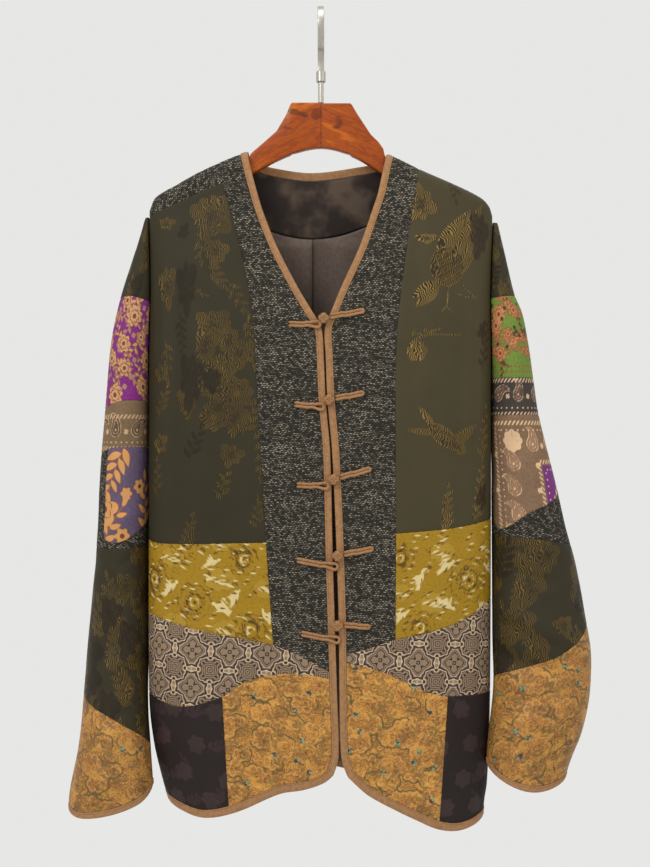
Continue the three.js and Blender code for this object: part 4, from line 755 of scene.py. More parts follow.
# Section of a binding: share across from its seam, and how far each face stands out
BINDING_SECTION = np.array([
    (0.0, 0.1), (0.05, 0.62), (0.13, 0.95), (0.2, 0.8), (0.25, 0.72), (0.3, 0.82), (0.4, 1.0),
    (0.6, 1.05), (0.78, 1.0), (0.89, 0.7), (0.96, 0.1), (1.0, -0.9),
])


def binding_strip(name, face, edge, towards, materials, stitch):
    """A folded strip round an edge: the edge's places moved out across, with a rounded section
    that dips at the stitch line and closes round the outer fold."""
    sizes = bpy.context.scene.jacket_sizes
    width, proud = sizes.binding_width * 1000, sizes.binding_proud * 1000
    edge, length = even_line(edge, face, 3.0)
    x, down = over(face, edge)[:, [0, 2]].T * np.array([[1], [-1]])
    way = np.stack([np.gradient(x), np.gradient(down)], -1)
    way = unit(way)
    out = settle(np.stack([-way[:, 1], way[:, 0]], -1) * towards, 3)
    out = unit(out)
    outer = on_body(x + out[:, 0] * width, down + out[:, 1] * width)
    on_ridge = edge[:, 1] < 1e-6
    beside = on_body(x + np.sign(out[:, 0]) * width, down)[:, 0]
    outer[on_ridge] = np.stack([beside[on_ridge], np.zeros(on_ridge.sum())], -1)
    for end in (0, -1):
        if not on_ridge[end]:
            outer[end] = on_body(x[end], down[end] + np.sign(out[end, 1]) * width)
    share, rise = BINDING_SECTION.T
    grid = edge[None] * (1 - share[:, None, None]) + outer[None] * share[:, None, None]
    ripple = 0.07 * np.sin(np.arange(len(edge)) * 1.9) + 0.05 * np.sin(np.arange(len(edge)) * 0.7)
    lift = rise[:, None] * proud + ripple[None] * (rise[:, None] > 0.5)
    outer_wall = over(face, grid, -lift)
    inner_wall = over(face, grid, CLOTH + lift * 0.5)
    along = np.linspace(0, length, len(edge))
    cloth = np.stack([np.broadcast_to(along, grid.shape[:2]),
                      np.broadcast_to(share[:, None] * width, grid.shape[:2])], -1)
    obj = wall_mesh(name, outer_wall, inner_wall, False, materials, cloth)
    finish_piece(obj, name, (2 * width + 8, length))
    middle = edge * (1 - 0.25) + outer * 0.25
    stitch_row(name + "_stitches", over(face, middle, -proud * 0.86), stitch)
    return obj


def stitch_row(name, line, material, pitch=2.6, long=1.9, thick=0.34):
    """Sewing thread along a line: each stitch is a spindle with four sides."""
    run = run_along(line)
    centre = np.arange(pitch, run[-1] - pitch, pitch)
    at = lambda s: np.stack([np.interp(s, run, line[:, k]) for k in range(3)], -1)
    ends = at(centre - long / 2), at(centre + long / 2)
    way = ends[1] - ends[0]
    way = unit(way)
    across = np.cross(way, np.array([0.3, 1.0, 0.1]))
    across = unit(across)
    up = np.cross(across, way)
    middle = (ends[0] + ends[1]) / 2
    ring = [middle + thick * (math.cos(a) * across + math.sin(a) * up) for a in np.arange(4) * math.pi / 2]
    points = np.stack([ends[0], *ring, ends[1]], 1)
    faces = [(0, 1 + k, 1 + (k + 1) % 4) for k in range(4)]
    faces += [(5, 1 + (k + 1) % 4, 1 + k) for k in range(4)]
    triangles = (np.arange(len(centre))[:, None, None] * 6 + np.array(faces)[None]).reshape(-1, 3)
    obj = make_mesh(name, points.reshape(-1, 3), triangles, [material])
    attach(obj, "root")
    return obj


def sleeve_shell(word):
    """Curves of one sleeve, and the function that gives its points."""
    hole = ARMHOLES[word]
    rows = SLEEVE_LEFT if word == "left" else SLEEVE_RIGHT
    outer_at, inner_at, depth_at, middle_at = (through(rows, k) for k in (1, 2, 3, 4))

    def shape(down):
        """Width, depth and reach of the sleeve's section at a height, and how far its back edge
        is moved to meet the back's armhole."""
        half = armhole_half(hole, down)
        depth = depth_at(down)
        is_open = half > 0
        opened = np.sqrt(np.maximum(1 - (half / depth) ** 2, 0))
        front, back = (armhole_edge(hole, face, down) for face in ("front", "back"))
        edge_x = over("front", front)[..., 0] + hole["side"] * ARMHOLE_GAP
        back_x = over("back", back)[..., 0] + hole["side"] * ARMHOLE_GAP
        inner = np.where(is_open, edge_x, inner_at(down))
        width = np.abs(outer_at(down) - inner) / (1 + np.where(is_open, opened, 1))
        reach = np.where(is_open, np.pi - np.arcsin(np.minimum(half / depth, 1)), np.pi)
        return width, depth, reach, np.where(is_open, back_x - edge_x, 0)

    def point(place, down, inset=0.0):
        """A level section is part of an ellipse, at an angle of the place times its reach. The
        folds are bells across a slanting line, added to the depth and a little to the width."""
        wrapped = np.where(place > 1, place - 2, place)
        width, depth, reach, slip = shape(down)
        fold = 0.0
        for turn, at, lean, span, size, out in SLEEVE_FOLDS[word]:
            across = (down - at - lean * (wrapped - turn)) / size
            fold = fold + out * bell(across) * bell((wrapped - turn) / span)
        angle = wrapped * reach
        x = outer_at(down) - hole["side"] * width + slip * smooth(0.4, 1, -wrapped)
        x = x + hole["side"] * (width - inset + fold * 0.3) * np.cos(angle)
        y = middle_at(down) - (depth - inset + fold) * np.sin(angle)
        return np.stack(np.broadcast_arrays(x, y, -down), -1)

    return shape, point


def sleeve_edges(word):
    """Edges of a sleeve's panels as places round it and heights, with a flag for closed rings."""
    left = word == "left"
    hole = ARMHOLES[word]
    suffix = "_left" if left else "_right"
    seam = lambda key: through(SEAMS[key + suffix])
    count = 14
    step = 2 / count

    def ring(down_at, start=-1.0, end=1.0, columns=count):
        place = np.linspace(start, end, columns * FINE + 1)
        return np.stack([place, down_at(np.where(place > 1, place - 2, place)) + 0 * place], -1)

    def between(top, bottom, closed=False):
        ends = [np.stack([top[k], bottom[k]]) for k in (0, -1)]
        return (top, bottom, *ends), closed

    crown = ring(lambda place: hole["top"])
    cap, upper, band, elbow, cuff_top, cuff_foot = (ring(seam(key)) for key in (
        "cap_foot", "upper_print_foot", "band_foot", "elbow_seam", "cuff_seam", "cuff_foot"))
    start, columns = (2 * step, 7) if left else (-2 * step, 12)
    end = start + columns * step
    print_top = ring(seam("band_foot"), start, end, columns)
    foot_curve = seam("lower_print_foot")
    print_foot = print_top.copy()
    print_foot[:, 1] = np.maximum(foot_curve(print_foot[:, 0]), print_top[:, 1])
    print_foot[-1] = print_top[-1]
    rest_top = join(print_foot, ring(seam("band_foot"), end, start + 2, count - columns))
    rest_foot = ring(seam("elbow_seam"), start, start + 2)
    lowered = cuff_foot + np.array([0, CUFF_BINDING])
    return {
        "cap_green": between(crown, cap),
        "upper_print": between(cap, upper),
        "band_paisley": between(upper, band, left),
        "lower_print": between(print_top, print_foot),
        "tweed": between(rest_top, rest_foot),
        "lower_green": between(elbow, cuff_top, True),
        "cuff_gold": between(cuff_top, cuff_foot, True),
        "cuff_binding": between(cuff_foot, lowered, True),
    }


def sleeve_panel(word, key, edges, closed, spacing, materials, paint=None):
    """A panel of a sleeve: a wall over the patch between its edges. The cuff's binding has the
    rounded section of the other bindings, and a row of stitches."""
    shape, place_at = sleeve_shell(word)
    point = lambda places, inset=0.0: place_at(places[..., 0], places[..., 1], inset)
    name = f"sleeve_{word}_{key}"
    middle = [fill_patch(edges, np.array([0.4]), np.linspace(0, 1, 20))[:, 0],
              fill_patch(edges, np.linspace(0, 1, 60), np.array([0.5]))[0]]
    tall, wide = (length_of(point(line)) for line in middle)
    is_binding = key == "cuff_binding"
    t = BINDING_SECTION[:, 0] if is_binding else shares(max(tall, 12), spacing)
    s = np.linspace(0, 1, int(wide / spacing) + 1) if closed else shares(wide, spacing)
    grid = fill_patch(edges, s, t)
    place, down = grid[..., 0], grid[..., 1]
    width, depth, *_ = shape(down)
    u = (1 if word == "left" else -1) * (place - 0.5) * np.pi * (width + depth) / 2
    if is_binding:
        lift = BINDING_SECTION[:, 1:2] * bpy.context.scene.jacket_sizes.binding_proud * 1000
        cloth = np.stack([u, BINDING_SECTION[:, 0:1] * CUFF_BINDING + 0 * down], -1)
        obj = wall_mesh(name, point(grid, -lift), point(grid, CLOTH + lift * 0.5), closed, materials, cloth)
        stitch_row(name + "_stitches", point(grid[4], -0.62), FINISHES["thread"])
    else:
        obj = wall_panel(name, point, grid, u, down, closed, materials, paint)
    finish_piece(obj, name, (np.ptp(u), max(np.ptp(down), 2 * CUFF_BINDING)))


def layer_inside(name, left, right, top_at, foot_at, spacing, material, pleat=None):
    """A thin layer inside the back: places seen between two heights, at the layer's depth. The
    pleat stands out as a soft step beside the middle."""
    x_line = np.linspace(left, right, int((right - left) / spacing) + 1)
    tall = float(np.max(foot_at(x_line) - top_at(x_line)))
    t = np.linspace(0, 1, int(tall / spacing) + 1)[:, None]
    x = np.broadcast_to(x_line[None], (len(t), len(x_line)))
    down = top_at(x) * (1 - t) + foot_at(x) * t
    places = on_body(x, down)
    inset = CLOTH + LAYER_GAP + (pleat(x, down) if pleat else 0)
    outer = over("back", places, inset)
    inner = over("back", places, inset + LINING)
    cloth = np.stack([x, -down], -1)
    obj = wall_mesh(name, outer, inner, False, [material], cloth)
    finish_piece(obj, name, (length_of(outer[len(t) // 2]), tall))
    return obj


def tube(rings, closed=False):
    """A skin over rings of points, with a fan of faces over each end unless it is closed."""
    count, sides = rings.shape[:2]
    i, k = np.meshgrid(np.arange(count if closed else count - 1), np.arange(sides), indexing="ij")
    i2, k2 = (i + 1) % count, (k + 1) % sides
    quads = [np.stack([i * sides + k, i * sides + k2, i2 * sides + k2, i2 * sides + k], -1).reshape(-1, 4)]
    points = rings.reshape(-1, 3)
    if not closed:
        points = np.concatenate([points, rings[:1].mean(1), rings[-1:].mean(1)])
        k = np.arange(sides)
        for end in (0, 1):
            hub, base = np.full(sides, count * sides + end), end * (count - 1) * sides
            quads.append(np.stack([hub, base + k, base + (k + 1) % sides, hub], -1))
    return points, np.concatenate(quads)


def carry(path, section, closed=False, up=(0, 0, 1), scale=1.0):
    """Carries a closed section along a path. Each ring stands square to the path, on an across
    vector found from the path's direction and the up vector, and the scale sizes each ring."""
    path = np.asarray(path, float)
    way = unit(np.roll(path, -1, 0) - np.roll(path, 1, 0) if closed else np.gradient(path, axis=0))
    across = unit(np.cross(way, np.asarray(up, float)))
    normal = np.cross(across, way)
    sized = section[None] * (np.ones(len(path)) * scale)[:, None, None]
    rings = path[:, None] + sized[..., :1] * across[:, None] + sized[..., 1:] * normal[:, None]
    points, quads = tube(rings, closed)
    cloth = np.stack([np.repeat(run_along(path), len(section)),
                      np.tile(np.linspace(0, 10, len(section)), len(path))], -1)
    if not closed:
        cloth = np.concatenate([cloth, cloth[:1], cloth[-1:]])
    return points, quads, cloth


def circle_section(radius, sides=10):
    """A round section."""
    angle = 2 * np.pi * np.arange(sides) / sides
    return np.stack([np.cos(angle), np.sin(angle)], -1) * radius


# Patterns. Each function gives distances in millimetres, negative inside the form.

def turned(u, v, base, angle):
    """Places in a motif's own frame: x along the angle, in degrees clockwise from the right."""
    a = math.radians(angle)
    x, y = u - base[0], v - base[1]
    return x * math.cos(a) + y * math.sin(a), y * math.cos(a) - x * math.sin(a)


def union(*fields):
    """Nearest of several forms."""
    return np.minimum.reduce(fields)


def disc(u, v, centre, radius, tall=1.0):
    """An oval: its height is the radius times tall."""
    return np.hypot(u - centre[0], (v - centre[1]) / tall) - radius


def ring(field, width):
    """A line of a width along a form's outline."""
    return np.abs(field) - width / 2


def leaf(u, v, base, angle, length, width, bend=0.0):
    """A pointed leaf: its half width is a sine of the share along it, widest before the middle."""
    x, y = turned(u, v, base, angle)
    t = np.clip(x / length, 0, 1)
    y = y - bend * length * t * t
    half = width / 2 * np.sin(np.pi * t ** 0.8)
    beyond = np.maximum(np.maximum(-x, x - length), 0)
    return np.where(beyond > 0, np.hypot(y, beyond), (np.abs(y) - half) * 0.9)


def bloom(u, v, centre, radius, petals, depth=0.22, turn=0.0):
    """A flower: a circle whose radius swings with the cosine of the petals' count by the angle."""
    x, y = u - centre[0], v - centre[1]
    swing = np.abs(np.cos(petals / 2 * np.arctan2(y, x) + turn))
    return (np.hypot(x, y) - radius * (1 - depth + depth * swing)) * 0.85


def stroke(u, v, points, width):
    """A line through points."""
    nearest = np.full(np.shape(u), 1e3)
    for (x0, y0), (x1, y1) in zip(points, points[1:]):
        size = max((x1 - x0) ** 2 + (y1 - y0) ** 2, 1e-6)
        t = np.clip(((u - x0) * (x1 - x0) + (v - y0) * (y1 - y0)) / size, 0, 1)
        nearest = np.minimum(nearest, np.hypot(u - x0 - t * (x1 - x0), v - y0 - t * (y1 - y0)))
    return nearest - width / 2


def spray(u, v, root, angle, length, pairs, size, bend=0.2, slim=0.42):
    """Leaves in pairs on a bent stem, smaller towards its tip: the leaves and the stem."""
    a = math.radians(angle)
    at = lambda t: (root[0] + length * t * math.cos(a) - bend * length * t * t * math.sin(a),
                    root[1] + length * t * math.sin(a) + bend * length * t * t * math.cos(a))
    stem = stroke(u, v, [at(t) for t in np.linspace(0, 1, 6)], 1.4)
    leaves = [leaf(u, v, at(0.97), angle + 60 * bend, size * 0.8, size * slim * 0.8)]
    for k in range(pairs):
        t = 0.12 + 0.8 * k / pairs
        long = size * (1.1 - 0.45 * t)
        way = angle + 115 * bend * t
        leaves.append(leaf(u, v, at(t), way - 52, long, long * slim, 0.12))
        leaves.append(leaf(u, v, at(t + 0.4 / pairs), way + 52, long, long * slim, -0.12))
    return union(*leaves), stem


def bird(u, v, centre, size, angle, flip=1):
    """A plain bird with a spread wing: body, head, bill, three tail feathers and a fan."""
    x, y = turned(u, v, centre, angle)
    y = y * flip
    parts = [
        leaf(x, y, (-0.42 * size, 0), 0, 0.86 * size, 0.34 * size, -0.05),
        disc(x, y, (0.42 * size, -0.06 * size), 0.115 * size),
        leaf(x, y, (0.48 * size, -0.06 * size), 8, 0.2 * size, 0.08 * size),
    ]
    for k, way in enumerate((162, 180, 198)):
        parts.append(leaf(x, y, (-0.3 * size, 0), way, (0.62 - 0.05 * k) * size, 0.12 * size, 0.1))
    for k in range(5):
        root = (0.12 - 0.07 * k) * size, -0.05 * size
        parts.append(leaf(x, y, root, -112 - 17 * k, (0.72 - 0.07 * k) * size, 0.13 * size, 0.12))
    return union(*parts)


def paisley(u, v, centre, size, angle, flip=1):
    """A drop with a curled tip: circles that shrink along a turning line."""
    x, y = turned(u, v, centre, angle)
    y = y * flip
    parts, px, py, way = [], 0.0, 0.0, 0.0
    for k in range(9):
        t = k / 8
        parts.append(np.hypot(x - px, y - py) - size * 0.36 * (1 - t) ** 0.8 - 0.15)
        px += size * 0.135 * math.cos(way)
        py += size * 0.135 * math.sin(way)
        way += 0.1 + 0.42 * t
    return union(*parts)


def cloud(u, v, centre, size, lobes, tall=0.6, turn=0.0):
    """A scalloped cloud: circles round an oval."""
    around = turn + 2 * np.pi * np.arange(lobes) / lobes
    parts = [disc(u, v, centre, size * 0.36, tall)]
    for a in around:
        place = (centre[0] + 0.36 * size * math.cos(a), centre[1] + 0.36 * size * tall * math.sin(a))
        parts.append(disc(u, v, place, size * 0.62 / math.sqrt(lobes)))
    return union(*parts)


def swirl(u, v, centre, size, turns=1.6, flip=1):
    """A curl: the line of a spiral whose radius grows evenly with the angle."""
    angle = np.linspace(0.4, turns * 2 * math.pi, 18)
    radius = size * angle / angle[-1]
    points = np.stack([centre[0] + flip * radius * np.cos(angle), centre[1] + radius * np.sin(angle)], -1)
    return stroke(u, v, points, 1.3)


def toothed(u, v, centre, radius, teeth, depth, tall=1.0):
    """A disc with even teeth round it."""
    x, y = u - centre[0], (v - centre[1]) / tall
    return np.hypot(x, y) - radius - depth * np.cos(teeth * np.arctan2(y, x))


def fields(u, *channels):
    """Puts up to four fields side by side, each kept within 9 mm."""
    far = np.full(np.shape(u), 9.0)
    channels = [np.clip(channel, -9, 9) + 0 * far for channel in channels]
    return np.stack(channels + [far] * (4 - len(channels)), -1)


def clump(u, v, centre, size, count, tall):
    """Round petals fanned about a point, long and short in turn: their union, and their outlines."""
    leaves, edges = [], []
    for k in range(count):
        reach = size * (0.66 if k % 2 else 0.52)
        x, y = turned(u, centre[1] + (v - centre[1]) / tall, centre, 360 * k / count + size * 7)
        half = reach * 0.36
        one = (np.hypot((x - reach * 0.5) / (reach * 0.56), (y - 0.003 * x * x) / half) - 1) * half
        leaves.append(one)
        edges.append(ring(one, 0.9))
    whole = union(*leaves)
    return whole, np.where(whole < -0.6, union(*edges), 9)


def foliage(u, v, sprays, blooms=(), dark=(), masses=(), shadows=(), extra=None):
    """Fields of a woven panel: light figures, lines on them, dark figures and flower hearts. The
    masses are scalloped clumps of leaves, and the shadows are the same clumps in the dark field,
    which the jacquard draws in brown thread as painted shade."""
    none = np.full(np.shape(u), 9.0)
    light, lines, shade, heart = [none], [none], [none], [none]
    for root, angle, length, pairs, size, bend in sprays:
        leaves, stem = spray(u, v, root, angle, length, pairs, size, bend)
        light += [leaves, stem]
    for centre, radius, petals, turn in blooms:
        light.append(bloom(u, v, centre, radius, petals, 0.25, turn))
        for share in (0.74, 0.48):
            lines.append(ring(bloom(u, v, centre, radius * share, petals, 0.3, turn + 0.8), 1.0))
        heart.append(disc(u, v, centre, radius * 0.2))
    for root, angle, length, pairs, size, bend in dark:
        leaves, stem = spray(u, v, root, angle, length, pairs, size, bend, 0.36)
        shade += [leaves, stem]
    for group, kept in ((masses, light), (shadows, shade)):
        for centre, size, lobes, tall in group:
            shape, edges = clump(u, v, centre, size * 0.92, lobes, tall)
            kept.append(shape)
            lines.append(edges)
    if extra is not None:
        light.append(extra[0])
        lines.append(extra[1])
    return fields(u, union(*light), union(*lines), union(*shade), union(*heart))


def paint_green_left(u, v):
    """Clumps of leaves down the left front, a large bloom in the middle and dark clumps beside."""
    return foliage(
        u, v,
        sprays=[
            ((-128, 300), 40, 34, 3, 13, 0.15), ((-104, 318), 62, 42, 3, 13, -0.1),
            ((-152, 326), 12, 24, 2, 8, 0.1), ((-84, 352), 74, 60, 5, 13, 0.12),
            ((-178, 384), 80, 42, 3, 12, 0.1), ((-186, 470), -80, 34, 3, 12, 0.15),
            ((-88, 492), -64, 36, 3, 15, -0.1), ((-152, 622), -84, 40, 4, 13, 0.1),
            ((-66, 470), 84, 66, 4, 15, 0.12), ((-112, 566), -84, 40, 3, 13, 0.1),
            ((-140, 262), 70, 30, 2, 13, 0.2), ((-190, 560), -84, 40, 3, 12, -0.1),
            ((-70, 596), -96, 34, 3, 12, 0.1),
        ],
        blooms=[((-112, 418), 19, 8, 0.2), ((-94, 444), 20, 8, 0.7), ((-120, 470), 17, 7, 1.2)],
        dark=[((-148, 520), -76, 40, 3, 15, 0.1), ((-160, 352), 84, 50, 4, 11, 0.0)],
        masses=[((-124, 242), 42, 9, 1.15), ((-128, 388), 25, 6, 1.2), ((-104, 386), 22, 6, 1.4),
                ((-126, 432), 26, 7, 1.3), ((-96, 472), 25, 6, 1.4), ((-112, 456), 28, 7, 0.9),
                ((-118, 284), 25, 6, 1.2), ((-176, 322), 21, 6, 2.1),
                ((-120, 366), 40, 8, 0.75), ((-92, 398), 28, 7, 1.1), ((-130, 396), 22, 6, 1.1),
                ((-184, 420), 17, 5, 1.3), ((-100, 512), 26, 6, 0.9), ((-150, 452), 22, 6, 1.6),
                ((-178, 250), 20, 5, 0.8), ((-184, 500), 17, 5, 1.4)],
        shadows=[((-152, 322), 22, 6, 2.6), ((-146, 428), 25, 6, 2.4), ((-156, 260), 13, 5, 1.4),
                 ((-122, 428), 22, 6, 1.2)],
    )


def paint_green_right(u, v):
    """A large bird with its wing up over a branch, a smaller one below and a sprig at the foot."""
    body = disc(u, v, (142, 300), 20, 1.15)
    wing = union(leaf(u, v, (132, 296), -64, 74, 27, 0.1), leaf(u, v, (146, 304), -68, 88, 26, 0.1),
                 leaf(u, v, (158, 310), -74, 84, 22, 0.06))
    tail = union(leaf(u, v, (130, 318), 148, 34, 15), leaf(u, v, (132, 322), 132, 38, 14, 0.1))
    legs = union(stroke(u, v, [(144, 322), (141, 346), (133, 352)], 1.8),
                 stroke(u, v, [(141, 346), (150, 352)], 1.5), stroke(u, v, [(160, 320), (176, 336)], 1.8),
                 stroke(u, v, [(152, 330), (164, 334), (180, 333)], 1.6))
    branch = union(stroke(u, v, [(104, 384), (118, 378), (134, 378), (158, 377)], 2.6),
                   cloud(u, v, (107, 396), 20, 6, 1.0))
    low_body = leaf(u, v, (120, 476), 44, 56, 20, -0.1)
    low = union(low_body, leaf(u, v, (146, 506), -48, 44, 14, 0.12), leaf(u, v, (128, 484), -126, 36, 8),
                leaf(u, v, (130, 488), 186, 38, 8), disc(u, v, (158, 506), 6.5))
    scales = np.sin(0.85 * (u + v)) * np.sin(0.85 * (u - v)) * 1.4
    lines = np.where(union(body, low_body) < 0, 0.2 - np.abs(scales) * 0.6 + 0.15, 9)
    lines = union(lines, ring(wing + 4.5, 1.0))
    return foliage(
        u, v,
        sprays=[((142, 602), -92, 54, 5, 12, 0.05), ((178, 596), -86, 80, 6, 12, 0.05),
                ((186, 520), -86, 60, 4, 12, 0.05), ((98, 380), -20, 34, 2, 8, 0.1)],
        dark=[((150, 188), 80, 34, 3, 12, 0.1), ((186, 420), -84, 70, 5, 12, 0.1)],
        masses=[((112, 228), 30, 6, 1.3), ((118, 268), 22, 6, 0.5)],
        shadows=[((182, 262), 26, 6, 1.9), ((186, 560), 15, 5, 2.2), ((186, 372), 13, 5, 1.6)],
        extra=(union(body, wing, tail, legs, branch, low), lines),
    )


def scatter(seed, box, step, wander=0.35):
    """Places in a staggered grid over a box, each moved a little at random."""
    chance = np.random.default_rng(seed)
    left, top, right, foot = box
    places = []
    for row, y in enumerate(np.arange(top, foot, step * 0.86)):
        for x in np.arange(left + (row % 2) * step / 2, right, step):
            move = chance.uniform(-wander, wander, 2) * step
            places.append((x + move[0], y + move[1], chance.uniform(0, 1)))
    return places


def leafy(seed, box, size, step):
    """A painter for woven leaf sprays and clumps all over a box."""
    def paint(u, v):
        sprays, dark, masses, shadows = [], [], [], []
        for x, y, share in scatter(seed, box, step):
            angle = -90 + 100 * (share - 0.5)
            kind = dark if share > 0.75 else sprays
            kind.append(((x, y + size), angle, size * 1.9, 4, size * 0.75, 0.35 * (0.5 - share)))
            lump = ((x + size * 0.5, y - size * 0.5), size * (0.8 + share * 0.5), 6, 1.0 + share)
            (shadows if 0.4 < share < 0.6 else masses).append(lump)
        return foliage(u, v, sprays, (), dark, masses, shadows)
    return paint


def brocade(medallions, clouds, birds):
    """A painter for the yellow brocade: light forms, brown lines, dark details and clouds."""
    def paint(u, v):
        light, lines, shade, mist = [], [], [], []
        for centre, radius, tall, teeth in medallions:
            edge = toothed(u, v, centre, radius * 0.72, teeth, radius * 0.07, tall)
            lines += [ring(edge, 1.6), ring(disc(u, v, centre, radius * 1.06, tall), 0.8)]
            lines.append(ring(bloom(u, v, centre, radius * 1.25, 10, 0.14), 0.9))
            shade.append(ring(disc(u, v, centre, radius * 0.5, tall), 1.6))
            light.append(ring(bloom(u, v, centre, radius * 0.32, 8, 0.3), 1.3))
            shade.append(bloom(u, v, centre, radius * 0.14, 5, 0.3))
            shade.append(ring(disc(u, v, centre, radius * 0.62, tall), 0.9))
        for centre, size, lobes, tall in clouds:
            x, y = turned(u, v, centre, -24)
            for k in range(3):
                off = (k - 1) * size * 0.3
                light.append(leaf(x, y, (-size * 0.5 + off, off * 0.7), -6 + 12 * k, size * 0.85,
                                  size * 0.14, 0.1))
                lines.append(leaf(x, y, (-size * 0.3 + off, off * 0.7 + size * 0.15), 4 - 9 * k, size * 0.7,
                                  size * 0.11, -0.1))
            shape = cloud(u, v, centre, size * 1.5, lobes, tall)
            mist.append(shape)
            lines.append(ring(shape, 0.9))
            beside = centre[0] + size * 0.8, centre[1] + size * 0.3
            lines.append(ring(disc(u, v, beside, size * 0.16), 0.9))
        for centre, size, angle, flip in birds:
            shape = bird(u, v, centre, size, angle, flip)
            light.append(shape)
            shade.append(leaf(u, v, centre, angle + 150, size * 0.5, size * 0.13))
        for x, y, share in scatter(9, (u.min(), v.min(), u.max(), v.max()), 19, 0.4):
            for k in range(3):
                way = -34 + 60 * share - 9 * k
                streak = leaf(u, v, (x + 2.4 * k, y - 2.6 * k), way, 6 + 6 * share, 2.2, 0.2)
                (light, lines)[k % 2 if share > 0.4 else 1 - k % 2].append(streak)
            if share > 0.7:
                shade.append(ring(disc(u, v, (x - 6, y + 5), 2.6), 1.1))
        return fields(u, union(*light), union(*lines), union(*shade), union(*mist))
    return paint


paint_mustard_left = brocade(
    [((-194, 652), 17, 1.25, 22), ((-141, 676), 16, 1.15, 20), ((-150, 606), 19, 0.8, 24),
     ((-134, 738), 20, 0.8, 24), ((-86, 628), 14, 1.1, 20), ((-78, 706), 15, 1.1, 20),
     ((-186, 726), 15, 1.0, 20)],
    [((-168, 626), 17, 7, 0.6), ((-112, 650), 20, 7, 0.6), ((-166, 700), 18, 7, 0.6),
     ((-106, 706), 17, 7, 0.6), ((-60, 660), 16, 6, 0.6), ((-112, 610), 14, 6, 0.6)],
    [((-168, 660), 19, -40, 1), ((-113, 682), 19, -150, -1), ((-120, 632), 17, -20, 1),
     ((-160, 718), 17, 20, 1), ((-94, 670), 16, -60, 1), ((-62, 690), 15, -120, -1)],
)
paint_mustard_right = brocade(
    [((168, 652), 21, 1.0, 26), ((110, 704), 16, 0.9, 22), ((88, 626), 13, 1.1, 20),
     ((196, 726), 16, 1.0, 20), ((156, 740), 19, 0.75, 24)],
    [((136, 620), 17, 7, 0.6), ((196, 618), 16, 7, 0.6), ((126, 676), 18, 7, 0.6),
     ((196, 690), 16, 7, 0.6), ((86, 664), 16, 6, 0.6), ((140, 714), 15, 6, 0.6)],
    [((142, 636), 19, -30, 1), ((196, 640), 17, -150, -1), ((142, 680), 18, 30, 1),
     ((186, 686), 17, 150, -1), ((112, 648), 17, -70, 1), ((92, 690), 15, -40, 1)],
)


def paint_mustard_back(u, v):
    """The same yellow brocade across the back, in an even layout."""
    medallions = [((x, y), 17, 1.1, 22) for x, y, _ in scatter(3, (-190, 630, 190, 750), 66, 0.1)]
    clouds = [((x + 30, y + 10), 18, 7, 0.6) for x, y, _ in scatter(4, (-190, 625, 190, 750), 66, 0.1)]
    birds = [((x + 24, y - 16), 18, 300 * s, 1) for x, y, s in scatter(5, (-190, 650, 190, 750), 66, 0.1)]
    return brocade(medallions, clouds, birds)(u, v)


def clouded(seed, box, step, size):
    """A painter for the gold brocade: clouds, curls, leaves and small flowers."""
    def paint(u, v):
        shapes, curls, leaves, accents = [], [], [], []
        for x, y, share in scatter(seed, box, step):
            wide = size * (0.8 + 0.5 * share)
            shapes.append(cloud(u, v, (x, y), wide, 6 + int(3 * share), 0.55 + 0.3 * share, share * 6))
            curls.append(swirl(u, v, (x + wide * 0.1, y), wide * 0.24, 1.3, 1 if share > 0.5 else -1))
            green, stem = spray(u, v, (x + step * 0.46, y + size * 0.5), -90 + 120 * (share - 0.5),
                                size * 1.1, 3, size * 0.4, 0.2)
            leaves += [green, stem]
            if share > 0.6:
                accents.append(bloom(u, v, (x - step * 0.4, y + size * 0.35), size * 0.15, 5, 0.3))
        none = np.full(np.shape(u), 9.0)
        return fields(u, union(*shapes), union(*curls), union(*leaves), union(*accents, none))
    return paint


def flowered(seed, box, step, size, dots=()):
    """A painter for the printed cottons: flowers, leaves, hearts and small buds. Rows of dots run
    level at the heights given."""
    def paint(u, v):
        flowers, leaves, hearts, buds = [], [], [], []
        for x, y, share in scatter(seed, box, step):
            radius = size * (0.3 + 0.22 * share)
            count = 5 + int(5 * share)
            flower = bloom(u, v, (x, y), radius, count, 0.34, share * 5)
            inner = ring(bloom(u, v, (x, y), radius * 0.6, count, 0.3, share * 5), 0.7)
            flowers.append(np.maximum(flower, -inner))
            hearts.append(disc(u, v, (x, y), radius * 0.24))
            for k in range(2):
                way = 200 * share - 60 + 170 * k
                green, stem = spray(u, v, (x, y), way, size * 1.3, 3, size * 0.34, 0.4)
                kept = flowers if k else leaves
                kept.extend([np.maximum(green, 0.3 - flower), np.maximum(stem, -flower)])
            buds.append(bloom(u, v, (x + step * 0.48, y - step * 0.3), size * 0.13, 4, 0.3, share))
        for height in dots:
            off = np.abs(u / 6.5 % 1 - 0.5) * 6.5
            flowers.append(np.hypot(off, v - height) - 1.3)
        return fields(u, union(*flowers), union(*leaves), union(*hearts), union(*buds))
    return paint


